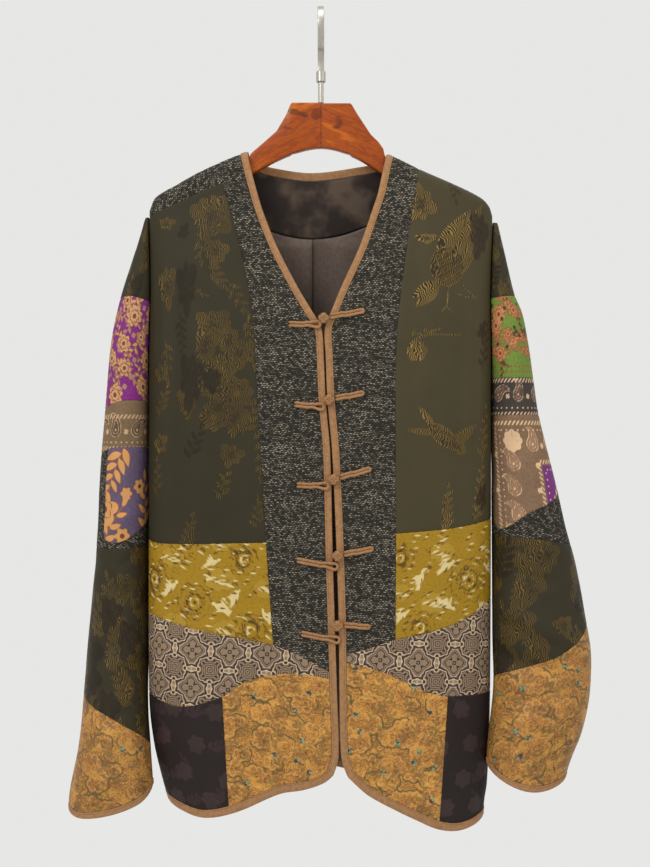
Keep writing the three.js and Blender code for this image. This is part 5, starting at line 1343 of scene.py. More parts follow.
def paint_blue_violet(u, v):
    """A leafy sprig above and a large flower with buds below, for the pointed patch."""
    sprig, stem = spray(u, v, (6, 498), 118, 64, 4, 22, -0.12)
    second, stem_two = spray(u, v, (-34, 640), -70, 80, 4, 20, 0.15)
    third, stem_three = spray(u, v, (42, 620), -100, 80, 4, 20, 0.1)
    petals = [bloom(u, v, (-22, 574), 21, 5, 0.4, 0.4), bloom(u, v, (8, 556), 8, 6, 0.3),
              bloom(u, v, (4, 604), 10, 6, 0.3), bloom(u, v, (26, 548), 9, 6, 0.3, 0.5),
              bloom(u, v, (-48, 530), 12, 6, 0.3), bloom(u, v, (44, 590), 13, 6, 0.3)]
    hearts = [ring(bloom(u, v, (-22, 574), 12, 5, 0.3, 1.2), 1.2), disc(u, v, (-22, 574), 4),
              disc(u, v, (4, 604), 3), disc(u, v, (26, 548), 2.6), disc(u, v, (-48, 530), 3.4),
              disc(u, v, (44, 590), 3.4)]
    return fields(u, union(sprig, stem, second, stem_two, third, stem_three, *petals),
                  np.full(np.shape(u), 9.0), union(*hearts))


def rope(u, v, start, end, pitch=5.4, width=5.2):
    """Slanting dashes between two points."""
    length = math.hypot(end[0] - start[0], end[1] - start[1])
    along, off = turned(u, v, start, math.degrees(math.atan2(end[1] - start[1], end[0] - start[0])))
    dash = np.abs((along + off * 0.8) / pitch % 1 - 0.5) * pitch - pitch * 0.24
    return np.where((along > 0) & (along < length), np.maximum(dash, np.abs(off) - width / 2), 9)


def dotted(u, v, start, end, pitch=7.5, radius=1.3):
    """Round dots between two points."""
    length = math.hypot(end[0] - start[0], end[1] - start[1])
    along, off = turned(u, v, start, math.degrees(math.atan2(end[1] - start[1], end[0] - start[0])))
    dot = np.hypot(np.abs(along / pitch % 1 - 0.5) * pitch, off) - radius
    return np.where((along > 0) & (along < length), dot, 9)


def paisleys(rows, size, borders=(), dots=(), wheels=(), corner=None):
    """A painter for the paisley prints. Rows give the height and offset of the drops, the borders
    are ropes, the wheels are round flowers, and the corner is a patch of another colour."""
    def paint(u, v):
        drops, inner = [], []
        for height, start, end, step, angle in rows:
            for count, x in enumerate(np.arange(start, end, step)):
                flip = 1 if count % 2 else -1
                shape = paisley(u, v, (x, height), size, angle + 10 * flip, flip)
                drops += [ring(shape, 1.1), ring(shape + size * 0.16, 0.9)]
                inner.append(np.maximum(shape + 0.8, 0.5 - ring(shape + size * 0.16, 0.9)))
                drops.append(disc(u, v, (x, height), size * 0.07))
                drops.append(bloom(u, v, (x + step * 0.5, height + 2), size * 0.17, 6, 0.45, count))
        for centre, radius in wheels:
            wheel = bloom(u, v, centre, radius, 8, 0.16)
            x, y = u - centre[0], v - centre[1]
            slits = np.abs(np.sin(4 * np.arctan2(y, x))) * np.hypot(x, y) - 0.9
            drops.append(np.maximum(wheel, -np.where(np.hypot(x, y) > radius * 0.3, slits, 9)))
        ropes = [rope(u, v, *border) for border in borders] + [dotted(u, v, *row) for row in dots]
        none = np.full(np.shape(u), 9.0)
        patch = none
        if corner is not None:
            x, y, reach = corner
            patch = np.maximum(x - u, y - v)
            patch = np.maximum(patch, u - x - reach)
            drops = [np.maximum(drop, -patch + 2) for drop in drops]
            for line, off in ((rope, -4), (dotted, 5)):
                near = x + off, y + off
                ropes += [line(u, v, near, (x + off, y + 115 - off)), line(u, v, near, (x + reach, y + off))]
            leaves, stem = spray(u, v, (x + 18, y + 52), -70, 36, 3, 15, 0.2)
            ropes += [leaves, stem]
        return fields(u, union(*drops), union(*inner), union(none, *ropes), patch)
    return paint


def paint_faint(u, v):
    """Faint blooms and leaves of the dark panels."""
    flowers, leaves = [], []
    for x, y, share in scatter(11, (-240, 800, 240, 960), 40, 0.2):
        flowers.append(bloom(u, v, (x, y), 11, 6, 0.3, share * 6))
        green, stem = spray(u, v, (x + 12, y + 8), -90 + 140 * (share - 0.5), 26, 3, 11, 0.2)
        leaves += [green, stem]
    return fields(u, union(*flowers), union(*leaves))


# Finishes

CLOTH_SPECULAR = 0.16
PLAIN_SPECULAR = {"Specular IOR Level": 0.5}


def arithmetic(operation, swapped=False):
    """A method of Wire for one step of arithmetic, or for its form with the wire on the right."""
    def method(self, other):
        return self.maths(operation, *((other, self) if swapped else (self, other)))
    return method


class Wire:
    """A socket of a material's tree, with arithmetic on it."""

    def __init__(self, tree, socket=None):
        self.tree = tree
        self.socket = socket

    def add(self, kind, inputs=(), out=0, **settings):
        """Adds a node: its settings first, then its inputs by number or name."""
        node = self.tree.nodes.new(kind)
        for key, value in settings.items():
            setattr(node, key, value)
        for key, value in (inputs.items() if isinstance(inputs, dict) else enumerate(inputs)):
            if isinstance(value, Wire):
                self.tree.links.new(value.socket, node.inputs[key])
            else:
                node.inputs[key].default_value = value
        return Wire(self.tree, node.outputs[out])

    def maths(self, operation, *values):
        """One step of arithmetic."""
        return self.add("ShaderNodeMath", values, operation=operation)

    __add__ = arithmetic("ADD")
    __radd__ = arithmetic("ADD", True)
    __sub__ = arithmetic("SUBTRACT")
    __rsub__ = arithmetic("SUBTRACT", True)
    __mul__ = arithmetic("MULTIPLY")
    __rmul__ = arithmetic("MULTIPLY", True)
    __truediv__ = arithmetic("DIVIDE")

    def __abs__(self):
        return self.maths("ABSOLUTE", self)

    def waves(self, pitch):
        """Even waves between 0 and 1 at a pitch: half the sine and one half."""
        return self.maths("SINE", self * (2 * math.pi / pitch)) * 0.5 + 0.5

    def step(self, low, high):
        """Eases from 0 at low to 1 at high."""
        return self.add("ShaderNodeMapRange", [self, low, high, 0.0, 1.0], interpolation_type="SMOOTHSTEP")

    def noise(self, scale, detail=2.0, rough=0.5):
        """Soft noise over a place."""
        return self.add("ShaderNodeTexNoise", {"Vector": self, "Scale": scale, "Detail": detail,
                                               "Roughness": rough}, noise_dimensions="3D")

    def mix(self, first, second, blend="MIX"):
        """Mixes two colours, with this value as the factor."""
        return self.add("ShaderNodeMix", {0: self, 6: first, 7: second}, 2, data_type="RGBA",
                        blend_type=blend)


def srgb(red, green, blue):
    """A colour of a shader from the three numbers of a screen colour."""
    return (*[(part / 255 / 1.055 + 0.052) ** 2.4 if part > 10 else part / 255 / 12.92
              for part in (red, green, blue)], 1.0)


def layered(colour, inks):
    """A colour with inks laid over it in turn, each by its own share."""
    for share, ink in inks:
        colour = share.mix(colour, srgb(*ink))
    return colour


def shaded(colour, share):
    """A darker shade of a colour."""
    return (*[part * share for part in colour[:3]], 1.0)


class Cloth:
    """A cloth's material in the making: its place in millimetres, and its pattern's fields."""

    def __init__(self, name, turn=0.0):
        self.material = bpy.data.materials.new(name)
        self.material.use_nodes = True
        self.tree = self.material.node_tree
        self.tree.nodes.clear()
        root = Wire(self.tree)
        place = root.add("ShaderNodeUVMap", uv_map="cloth")
        place = place.add("ShaderNodeVectorMath", {0: place, "Scale": 1000.0}, operation="SCALE")
        if turn:
            place = place.add("ShaderNodeVectorRotate", {"Vector": place, "Angle": math.radians(turn)},
                              rotation_type="Z_AXIS")
        self.place = place
        self.u = place.add("ShaderNodeSeparateXYZ", [place], 0)
        self.v = place.add("ShaderNodeSeparateXYZ", [place], 1)
        figure = root.add("ShaderNodeAttribute", attribute_name="figure")
        alpha = Wire(self.tree, figure.socket.node.outputs["Alpha"])
        self.fields = [figure.add("ShaderNodeSeparateColor", [figure], k) for k in range(3)] + [alpha]

    def at(self, x, y, z=0.0):
        """A place put together from three values."""
        return self.u.add("ShaderNodeCombineXYZ", [x, y, z])

    def inside(self, channel, soft=0.45, out=0.0):
        """1 inside a form of the pattern and 0 outside it."""
        return self.fields[channel].step(out + soft, out - soft)

    def close(self, colour, roughness, height=None, **constants):
        """Ends in one Principled shader; height is the relief in millimetres."""
        values = {"Base Color": colour, "Roughness": roughness, "Specular IOR Level": CLOTH_SPECULAR,
                  **constants}
        if height is not None:
            relief = {"Strength": 1.0, "Distance": MM, "Height": height}
            values["Normal"] = self.u.add("ShaderNodeBump", relief)
        shader = self.u.add("ShaderNodeBsdfPrincipled", values)
        output = self.tree.nodes.new("ShaderNodeOutputMaterial")
        self.tree.links.new(shader.socket, output.inputs["Surface"])
        return self.material


def tint(cloth, colour, size=0.02, low=0.82, high=1.16):
    """Uneven shade over a colour: it is multiplied by a soft noise of wide patches."""
    patches = cloth.place.noise(size, 3.0, 0.6) * (high - low) + low
    return patches.add("ShaderNodeMix", {0: 1.0, 6: colour, 7: cloth.at(patches, patches, patches)}, 2,
                       data_type="RGBA", blend_type="MULTIPLY")


def tweed(name, turn):
    """Rows of short dashes, off-white on charcoal. A row is a band of the place down, its cells
    are offset from row to row, and each cell holds a random shade. The dashes fade in wide bars."""
    c = Cloth(name, turn)
    wander = (c.place.noise(0.05, 2.0) - 0.5) * 3.0
    row = (c.v + wander + c.u * 0.1) / 2.0
    number = row.maths("FLOOR", row)
    shift = c.u.add("ShaderNodeTexWhiteNoise", [c.at(number, 3.0)], 0, noise_dimensions="3D")
    along = (c.u + number * 1.7 + shift * 1.2) / 3.4
    cell = along.maths("FLOOR", along)
    chance = c.u.add("ShaderNodeTexWhiteNoise", [c.at(cell, number)], 0, noise_dimensions="3D")
    across = abs(row - number - 0.5)
    length = abs(along - cell - 0.5)
    fleck = across.step(0.4, 0.1) * length.step(0.46, 0.24) * (chance.step(0.1, 1.0) * 0.85 + 0.15)
    fuzz = c.place.noise(1.4, 3.0, 0.7)
    bars = c.at(c.u * 0.02, c.v * 0.5).noise(0.2, 2.0).step(0.3, 0.62)
    fleck = fleck * (bars * 0.55 + 0.45)
    dark = fuzz.mix(srgb(24, 23, 21), srgb(46, 43, 38))
    light = chance.mix(srgb(100, 93, 81), srgb(164, 154, 134))
    return c.close(tint(c, fleck.mix(dark, light), 0.03), 0.92, fleck * 0.3 + fuzz * 0.2)


def jacquard(name, ground, gold, brown):
    """Woven figures on a plain dark ground: each is filled with wavy threads that follow its
    outline, bright gold over dark gaps. A second kind of figure is drawn in brown threads: painted
    shade of the gold figures where they face away from the light."""
    c = Cloth(name)
    waves = (c.place.noise(0.05, 2.0) - 0.5) * 16
    threads = (c.u + waves + c.fields[0] * 0.6).waves(2.2)
    figure, lines = c.inside(0, 0.6), c.inside(1, 0.4)
    painted_shade_figure, heart = c.inside(2, 0.8), c.inside(3, 0.5)
    sheen = c.place.noise(0.025, 2.0).step(0.35, 0.65)
    bright = sheen.mix(shaded(gold, 0.62), gold)
    lit = threads.step(0.35, 1.0).mix(srgb(44, 38, 23), bright)
    colour = (figure * 0.85).mix(ground, lit)
    # Brown-threaded figures: painted shade of gold figures turned from the light
    colour = (painted_shade_figure * 0.85).mix(colour, threads.step(0.3, 0.9).mix(srgb(36, 31, 22), brown))
    colour = layered(colour, [
        (lines * 0.75, (44, 38, 24)),
        (heart * 0.35, (96, 74, 38)),
    ])
    height = figure * (threads * 0.22 + 0.1) - lines * 0.14 + painted_shade_figure * threads * 0.16
    rough = 0.6 - figure * 0.14 + c.place.noise(0.4) * 0.1
    return c.close(tint(c, colour), rough, height)


def mustard_brocade(name):
    """Yellow brocade: cream and brown figures and scalloped clouds on a fine ribbed ground."""
    c = Cloth(name)
    ribs = c.v.waves(1.5)
    mottle = c.place.noise(0.35, 3.0, 0.7)
    colour = (ribs * 0.3 + mottle.step(0.45, 0.62) * 0.3).mix(srgb(162, 126, 28), srgb(116, 88, 20))
    colour = layered(colour, [
        (c.inside(3, 0.6) * (mottle * 0.4 + 0.1), (186, 152, 62)),
        (c.inside(1, 0.4) * 0.85, (92, 64, 26)),
        (c.inside(0, 0.4) * (mottle * 0.5 + 0.6), (214, 196, 142)),
        (c.inside(2, 0.4) * 0.85, (66, 44, 22)),
    ])
    height = c.inside(0, 0.6) * 0.2 + c.inside(1, 0.6) * 0.14 + ribs * 0.05 + mottle * 0.1
    return c.close(tint(c, colour, 0.03, 0.88, 1.1), 0.6 - ribs * 0.06, height)


def lattice(name):
    """Grey-beige cloth with a knotted lattice. Level lines of a sum of cosines draw rings round
    each knot, and a broad navy line runs where the sum is near nought."""
    c = Cloth(name, 3)
    turn = 2 * math.pi / 42
    p, q = c.u * turn, c.v * turn
    cosine = lambda value: value.maths("COSINE", value)
    wave = cosine(p) + cosine(q) + cosine(p * 2) * cosine(q * 2) * 0.55
    wave = wave + cosine(p * 5) * cosine(q * 5) * 0.16
    near = lambda level, width: abs(wave - level).step(width, width * 0.35)
    rings = wave.waves(2 * math.pi / 12)
    mottle = c.place.noise(0.6, 3.0, 0.7)
    ribs = c.v.waves(1.3)
    colour = (mottle.step(0.4, 0.65) * 0.4 + ribs * 0.15).mix(srgb(146, 122, 98), srgb(110, 92, 76))
    fine = rings.step(0.62, 0.86)
    navy = near(-0.05, 0.2)
    pale = near(0.32, 0.12) + near(-0.42, 0.12)
    colour = layered(colour, [
        (fine * 0.95, (50, 43, 40)),
        (pale * 0.9, (208, 180, 146)),
        (navy * 0.92, (36, 44, 54)),
    ])
    height = navy * 0.14 + fine * 0.1 + ribs * 0.05 + mottle * 0.08
    return c.close(tint(c, colour), 0.66, height)


def gold_brocade(name, worn=0.0):
    """Gold brocade: clouds with thin grey-green edges, curls, and flecks of orange, brown and
    green, with a few dark and mint spots. A share above nought mixes it towards dark brown for the
    cuffs: partly their browner tone and partly painted shade."""
    c = Cloth(name)
    mottle = c.place.noise(0.22, 3.0, 0.7)
    flecks = c.place.noise(0.55, 3.0, 0.75)
    drift = c.at(c.u * 0.5, c.v + mottle * 6).noise(0.3, 3.0, 0.7)
    colour = flecks.step(0.42, 0.6).mix(srgb(132, 90, 42), srgb(206, 152, 82))
    colour = layered(colour, [
        (drift.step(0.54, 0.64) * 0.7, (206, 132, 44)),
        (drift.step(0.45, 0.36) * 0.6, (110, 84, 46)),
        (c.inside(0, 0.7) * 0.3, (176, 118, 60)),
    ])
    broken = c.place.noise(0.045, 2.0).step(0.44, 0.52)
    outline = abs(c.fields[0]).step(0.95, 0.4) * broken
    blotch = c.at(c.u * 0.7, c.v, 40.0).noise(0.07, 4.0, 0.65)
    colour = layered(colour, [
        (blotch.step(0.5, 0.64) * 0.55, (214, 158, 72)),
        (blotch.step(0.48, 0.36) * 0.5, (132, 92, 52)),
    ])
    inner = abs(c.fields[0] + 2.6).step(0.7, 0.3)
    colour = layered(colour, [
        (outline * 0.85, (74, 78, 50)),
        (inner * 0.5, (218, 170, 96)),
    ])
    leafy_shade = mottle.step(0.45, 0.6).mix(srgb(96, 92, 56), srgb(140, 74, 34))
    colour = (c.inside(2, 0.4) * 0.55).mix(colour, leafy_shade)
    colour = (c.inside(1, 0.4) * 0.7).mix(colour, srgb(84, 66, 38))
    spot = mottle.step(0.48, 0.52).mix(srgb(62, 36, 52), srgb(118, 158, 124))
    colour = (c.inside(3, 0.4) * 0.85).mix(colour, spot)
    # Mix towards dark brown for the cuffs: partly their browner tone, partly painted shade
    if worn:
        colour = (outline * 0 + worn).mix(colour, srgb(84, 62, 42))
    height = outline * 0.14 + c.inside(0, 0.8) * 0.1 + flecks * 0.22 + c.inside(1, 0.4) * 0.1
    return c.close(tint(c, colour, 0.03), 0.52 - flecks * 0.1, height, Metallic=0.1)


def dark_cloth(name):
    """Dark aubergine cloth with a faint figure that is a little glossier than its ground."""
    c = Cloth(name)
    ribs = (c.u + c.v).waves(1.6)
    figure = c.inside(0, 0.8)
    colour = (figure * (ribs * 0.4 + 0.4)).mix(srgb(40, 32, 30), srgb(62, 50, 47))
    colour = (c.inside(1, 0.6) * 0.6).mix(colour, srgb(62, 46, 48))
    return c.close(tint(c, colour), 0.7 - figure * 0.16, figure * 0.12 + ribs * 0.08)


def printed(name, ground, flower, leaf_colour, heart, bud, soft=0.35):
    """Printed cotton: flowers, leaves, hearts and buds in four inks on a coloured ground."""
    c = Cloth(name)
    weave = (c.u.waves(1.1) * 2 - 1) * (c.v.waves(1.1) * 2 - 1)
    mottle = c.place.noise(0.3, 3.0, 0.7)
    colour = mottle.step(0.3, 0.7).mix(ground, shaded(ground, 0.72))
    colour = c.inside(1, soft).mix(colour, leaf_colour)
    colour = c.inside(0, soft).mix(colour, flower)
    edge = abs(c.fields[0]).step(0.8, 0.35)
    colour = (edge * 0.6).mix(colour, heart)
    colour = c.inside(2, soft).mix(colour, heart)
    colour = c.inside(3, soft).mix(colour, bud)
    return c.close(tint(c, colour, 0.03), 0.72, weave * 0.06 + mottle * 0.1)


def paisley_print(name, ground, ink, inner):
    """Paisley cotton: line drawings in one ink, drops filled with a second, and a violet corner."""
    c = Cloth(name)
    mottle = c.place.noise(0.3, 3.0, 0.7)
    colour = mottle.step(0.3, 0.7).mix(ground, shaded(ground, 0.75))
    colour = c.inside(1, 0.3).mix(colour, inner)
    colour = (c.inside(3, 0.6) * 0.95).mix(colour, srgb(112, 48, 116))
    colour = (c.inside(0, 0.4) * 0.85).mix(colour, ink)
    colour = (c.inside(2, 0.4) * 0.9).mix(colour, ink)
    return c.close(tint(c, colour, 0.03), 0.74, mottle * 0.1)


def satin(name, colour, sheen, pitch=0.9, grain=0.09, rough=0.42, crease=None):
    """Plain satin: a fine twill, and soft uneven patches mixed towards the sheen colour, a painted sheen. A
    crease adds painted shade: a dark line down it and a painted shadow beside it.
    """
    c = Cloth(name)
    twill = (c.u + c.v * 0.7).waves(pitch)
    slub = c.place.noise(0.22, 3.0, 0.6)
    # Soft patches lighter towards the sheen colour: painted sheen
    worn = slub.step(0.35, 0.7).mix(colour, sheen)
    if crease is not None:
        off = c.u - crease
        # Painted shadow in a band beside the crease
        worn = (off.step(-1, 1) * off.step(30, 0) * 0.3).mix(worn, srgb(62, 52, 48))
        # Dark line along the crease: painted shade
        worn = (abs(off).step(1.5, 0.5) * 0.75).mix(worn, srgb(48, 39, 35))
    return c.close(tint(c, worn, 0.04, 0.86, 1.1), rough + slub * 0.16, twill * grain + slub * 0.16)


def facing_satin(name):
    """Dark facing: charcoal satin with lighter patches where it catches the light."""
    c = Cloth(name)
    patch = c.place.noise(0.02, 3.0, 0.5).step(0.44, 0.62)
    fine = c.place.noise(0.6, 2.0)
    colour = (patch * 0.75).mix(srgb(44, 35, 31), srgb(98, 82, 68))
    return c.close(colour, 0.5 - patch * 0.14, fine * 0.12)


def wood(name):
    """Varnished wood: long rings stretched along the hanger, fine pores and a few dark knots."""
    c = Cloth(name)
    place = c.u.add("ShaderNodeTexCoord", out=3)
    place = place.add("ShaderNodeVectorMath", {0: place, "Scale": 1000.0}, operation="SCALE")
    x, y, z = (place.add("ShaderNodeSeparateXYZ", [place], k) for k in range(3))
    long = c.at(x * 0.12, y, z * 0.5 + abs(x) * 0.2)
    rings = long.noise(0.16, 4.0, 0.6)
    grain = rings.waves(2 * math.pi / 46)
    pores = c.at(x * 0.08, y, z).noise(1.6, 2.0)
    colour = (grain * 0.45).mix(srgb(158, 70, 8), srgb(106, 38, 2))
    colour = (rings.step(0.5, 0.72) * 0.8).mix(colour, srgb(196, 100, 12))
    knot = c.at(x * 0.5 + 9, y * 0.3, z).noise(0.07, 2.0).step(0.64, 0.74)
    colour = layered(colour, [
        (knot * 0.7, (70, 30, 12)),
        (pores.step(0.58, 0.7) * 0.35, (96, 44, 16)),
    ])
    knot = ((x + 5) * (x + 5) * 0.03 + (z + 124) * (z + 124) * 0.012 + (rings - 0.5) * 5).step(1.3, 0.2)
    colour = (knot * 0.55).mix(colour, srgb(74, 26, 8))
    joint = abs(x).step(0.7, 0.3)
    colour = (joint * 0.7).mix(colour, srgb(70, 28, 8))
    return c.close(colour, 0.34 + pores * 0.1, grain * 0.03, **{"Coat Weight": 0.15, "Coat Roughness": 0.12,
                                                                "Specular IOR Level": 0.2})


def steel(name):
    """Brushed steel with fine lines across it."""
    c = Cloth(name)
    lines = c.at(c.u * 0.1, c.v * 2.4).noise(1.2, 2.0)
    colour = lines.mix(srgb(204, 199, 188), srgb(160, 155, 146))
    return c.close(colour, 0.3 + lines * 0.14, lines * 0.01, Metallic=1.0, **PLAIN_SPECULAR)


FINISHES = {}
WOVEN = {  # ground, gold, brown
    "green": ((66, 59, 39), (156, 124, 60), (66, 50, 31)),
    # The next row is the green jacquard drawn darker: painted shade, used on the left front and the sleeves
    "deep_green": ((50, 45, 30), (114, 90, 38), (46, 36, 23)),
}
PRINTS = {  # ground, flowers, leaves, hearts, buds
    "violet": ((132, 48, 124), (196, 148, 100), (164, 122, 90), (112, 66, 60), (160, 120, 100)),
    "blue_violet": ((104, 88, 112), (202, 146, 90), (150, 120, 90), (112, 66, 42), (160, 150, 170)),
    "leaf": ((116, 140, 60), (186, 128, 82), (96, 58, 42), (130, 64, 44), (60, 62, 40)),
}
PAISLEYS = {  # ground, lines, drops
    "paisley_pale": ((126, 102, 76), (198, 166, 128), (96, 76, 60)),
    "paisley_dark": ((68, 61, 56), (204, 172, 140), (104, 78, 66)),
    "paisley_taupe": ((132, 104, 80), (222, 186, 146), (150, 112, 86)),
}


def make_finishes():
    """Makes every finish once."""
    colours = bpy.context.scene.jacket_colours
    tan = tuple(colours.binding)
    light_tan = tuple(min(part * 1.3, 1) for part in tan[:3]) + (1.0,)
    for kind, make, table in (("jacquard", jacquard, WOVEN), ("print", printed, PRINTS),
                              ("cotton", paisley_print, PAISLEYS)):
        for name, inks in table.items():
            FINISHES[name] = make(f"{name}_{kind}", *[srgb(*ink) for ink in inks])
    for place, turn in (("band", 0), ("yoke", -52), ("sleeve", 12)):
        FINISHES["tweed_" + place] = tweed("tweed_" + place, turn)
    lining = 1.0, 0.0, 0.4
    FINISHES.update({
        "mustard": mustard_brocade("mustard_brocade"),
        "taupe": lattice("taupe_lattice"),
        "gold": gold_brocade("gold_brocade"),
        "gold_cuff": gold_brocade("gold_cuff_brocade", 0.2),
        "dark": dark_cloth("dark_cloth"),
        "binding": satin("binding_satin", tan, light_tan),
        "cord": satin("cord_satin", tan, light_tan, 1.6, 0.14),
        "thread": satin("thread", shaded(tan, 0.75), tan, 0.9, 0.0),
        "lining": satin("lining_satin", tuple(colours.lining), srgb(104, 90, 81), *lining),
        # The pleated lining gets painted shade at the pleat: a dark line and a painted shadow beside it
        "pleated": satin("pleated_lining_satin", srgb(102, 87, 78), srgb(112, 97, 87), *lining, PLEAT_AT),
        "facing": facing_satin("facing_satin"),
        "wood": wood("varnished_wood"),
        "steel": steel("brushed_steel"),
        "floor": Cloth("floor").close(srgb(226, 226, 224), 0.85, **PLAIN_SPECULAR),
    })


# Frogs, hanger and hook

def spline(points, count):
    """Smooth line through points, at an even spacing."""
    points = np.asarray(points, float)
    run = np.concatenate([[0], np.cumsum(np.sqrt(np.linalg.norm(np.diff(points, axis=0), axis=1)))])
    curve = [through(np.stack([run, column], -1)) for column in points.T]
    fine = np.stack([at(np.linspace(0, run[-1], 400)) for at in curve], -1)
    length = run_along(fine)
    at = np.linspace(0, length[-1], count)
    return np.stack([np.interp(at, length, column) for column in fine.T], -1)


def lay(x, down, lift):
    """A place over the front cloth."""
    place = on_body(x, down)
    return over("front", place, -lift)


def cord_piece(node, points, width):
    """A round cord along a line, a little uneven, with closed ends."""
    count = max(int(length_of(np.asarray(points)) / 1.2), 24)
    path = spline(points, count)
    along = np.arange(count)
    size = 1 + 0.035 * np.sin(along * 1.3) + 0.02 * np.sin(along * 0.45)
    end = np.minimum(along, count - 1 - along)
    size = size * np.sqrt(np.clip((end + 0.25) / 2.0, 0.1, 1))
    points, quads, cloth = carry(path, circle_section(width / 2, 12), up=(0, 1, 0), scale=size)
    obj = make_mesh(node, points, quads, [FINISHES["cord"]], cloth)
    stand_for(obj, node)
    return obj


KNOT_DROP = 3.6  # how far a knot hangs below the line of its arm
KNOT_DEEP = 9.7
KNOT_STRAND = 1.45


def frog_arm(x0, down0, x1, down1, way, width, proud, eye=0.0):
    """Line of a doubled arm: out along the upper strand, round its end, and back below it. With
    an eye the far ends open a little and the bend is round the eye, and the near ends are cut."""
    apart = width / 2 + 0.05
    t = np.linspace(0, 1, 9)
    x = x0 + (x1 - x0) * t
    down = down0 + (down1 - down0) * t
    apart = apart + eye * smooth(0.7, 1, t)
    lift = np.where(np.abs(x - x1) < 14, proud + SEAM_GAP + 0.5, SEAM_GAP + 0.3) + width / 2
    upper = lay(x, down - apart, lift)
    lower = lay(x, down + apart, lift)
    around = np.radians(np.array([-50, 0, 50]))
    if eye:
        bend = lay(x1 - way * apart[-1] * np.cos(around), down1 + apart[-1] * np.sin(around), lift[-1])
        return np.concatenate([upper, bend, lower[::-1]])
    bend = lay(x0 + way * (0.4 + apart[0] * np.cos(around)), down0 + apart[0] * np.sin(around), lift[0])
    return np.concatenate([upper[::-1], bend, lower])


def knot_piece(name, centre, wide):
    """A knot of one round strand that turns three times round a ball while it swings up and down
    four times, over a small plain core."""
    t = np.linspace(0, 2 * np.pi, 240, endpoint=False)
    radius = wide / 2 - KNOT_STRAND
    swing = math.radians(56) * np.cos(4 * t)
    weave = 0.75 * np.cos(12 * t + 0.6)
    r = radius + weave * 0.35 - 0.25
    level = r * np.cos(swing)
    spot = np.stack([level * np.cos(3 * t), r * np.sin(swing), level * np.sin(3 * t)], -1)
    path = centre + spot * np.array([1, (KNOT_DEEP / 2 - KNOT_STRAND) / radius, 1])
    points, quads, cloth = carry(path, circle_section(KNOT_STRAND, 8), True, up=(0.2, 1, 0.3))
    angle = np.linspace(-np.pi / 2, np.pi / 2, 9)
    core = np.stack([np.cos(angle) * (radius * 0.92), np.sin(angle) * (KNOT_DEEP / 2 - 1.6)], -1)
    core_points, core_quads = turned_shape(core, 18)
    core_points = core_points + centre
    quads = np.concatenate([quads, core_quads + len(points)])
    cloth = np.concatenate([cloth, core_points[:, [0, 2]]])
    obj = make_mesh(name, np.concatenate([points, core_points]), quads, [FINISHES["cord"]], cloth)
    stand_for(obj, name)
    return obj


def turned_shape(profile, sides, upright=False):
    """Turns a profile of radius and height round the Y axis, or round Z where it stands upright."""
    angle = 2 * np.pi * np.arange(sides + 1) / sides
    r, h = profile[:, 0][:, None], profile[:, 1][:, None] + 0 * angle[None]
    x, z = r * np.cos(angle)[None], r * np.sin(angle)[None]
    grid = np.stack([x, z, h] if upright else [x, h, z], -1)
    return grid.reshape(-1, 3), grid_quads(len(profile), sides + 1)


def build_frog(number, row, sizes):
    """One frog: a looped arm on the left front, and an arm and its knot on the right front."""
    loop_x, loop_down, eye_x, eye_down, knot_x, knot_down, arm_x, arm_down = row
    width, knot = sizes.cord * 1000, sizes.knot * 1000
    proud = sizes.binding_proud * 1000
    eye = frog_arm(loop_x - 1.5, loop_down, eye_x - 2, eye_down, -1, width, proud, 1.6)
    cord_piece(f"frog_{number}_loop", eye, width)
    root_x = knot_x + knot / 2 + 0.1
    root_down = knot_down + (arm_down - knot_down) * 0.12
    arm = frog_arm(arm_x, arm_down, root_x, root_down, 1, width, proud)
    cord_piece(f"frog_{number}_arm", arm, width)
    centre = lay(knot_x, knot_down + KNOT_DROP, proud + SEAM_GAP + 0.3 + KNOT_DEEP / 2)
    knot_piece(f"frog_{number}_knot", centre, knot)


def rounded_bar(half_wide, half_tall, radius, steps=4):
    """A section with round corners, as points in order."""
    points = []
    for sign_x, sign_y, start in ((1, 1, 0), (-1, 1, 90), (-1, -1, 180), (1, -1, 270)):
        for angle in np.radians(start + np.linspace(0, 90, steps + 1)):
            points.append((sign_x * (half_wide - radius) + radius * math.cos(angle),
                           sign_y * (half_tall - radius) + radius * math.sin(angle)))
    return np.array(points)


NECK_LINE_LEFT = [
    (0.15, 108.3), (33, 108.3), (35, 110), (40, 122.5), (51, 141), (66, 154.3), (80, 166.3),
    (83, 171), (90, 174.5),
]
NECK_LINE_RIGHT = [
    (0.15, 109), (33.5, 109), (35.5, 110.7), (41.5, 121), (57, 144.6), (66, 153.5), (71.5, 161), (72.8, 168),
    (75.5, 173), (84, 175.5),
]
ARCH_LEFT = [(0.15, 160), (15, 161.5), (34, 167.5), (56, 177.5), (79, 190.5), (112, 206), (150, 224)]
ARCH_RIGHT = [(0.15, 160), (15, 161.5), (32, 167.5), (50, 177), (68, 188.6), (108, 207), (150, 227)]


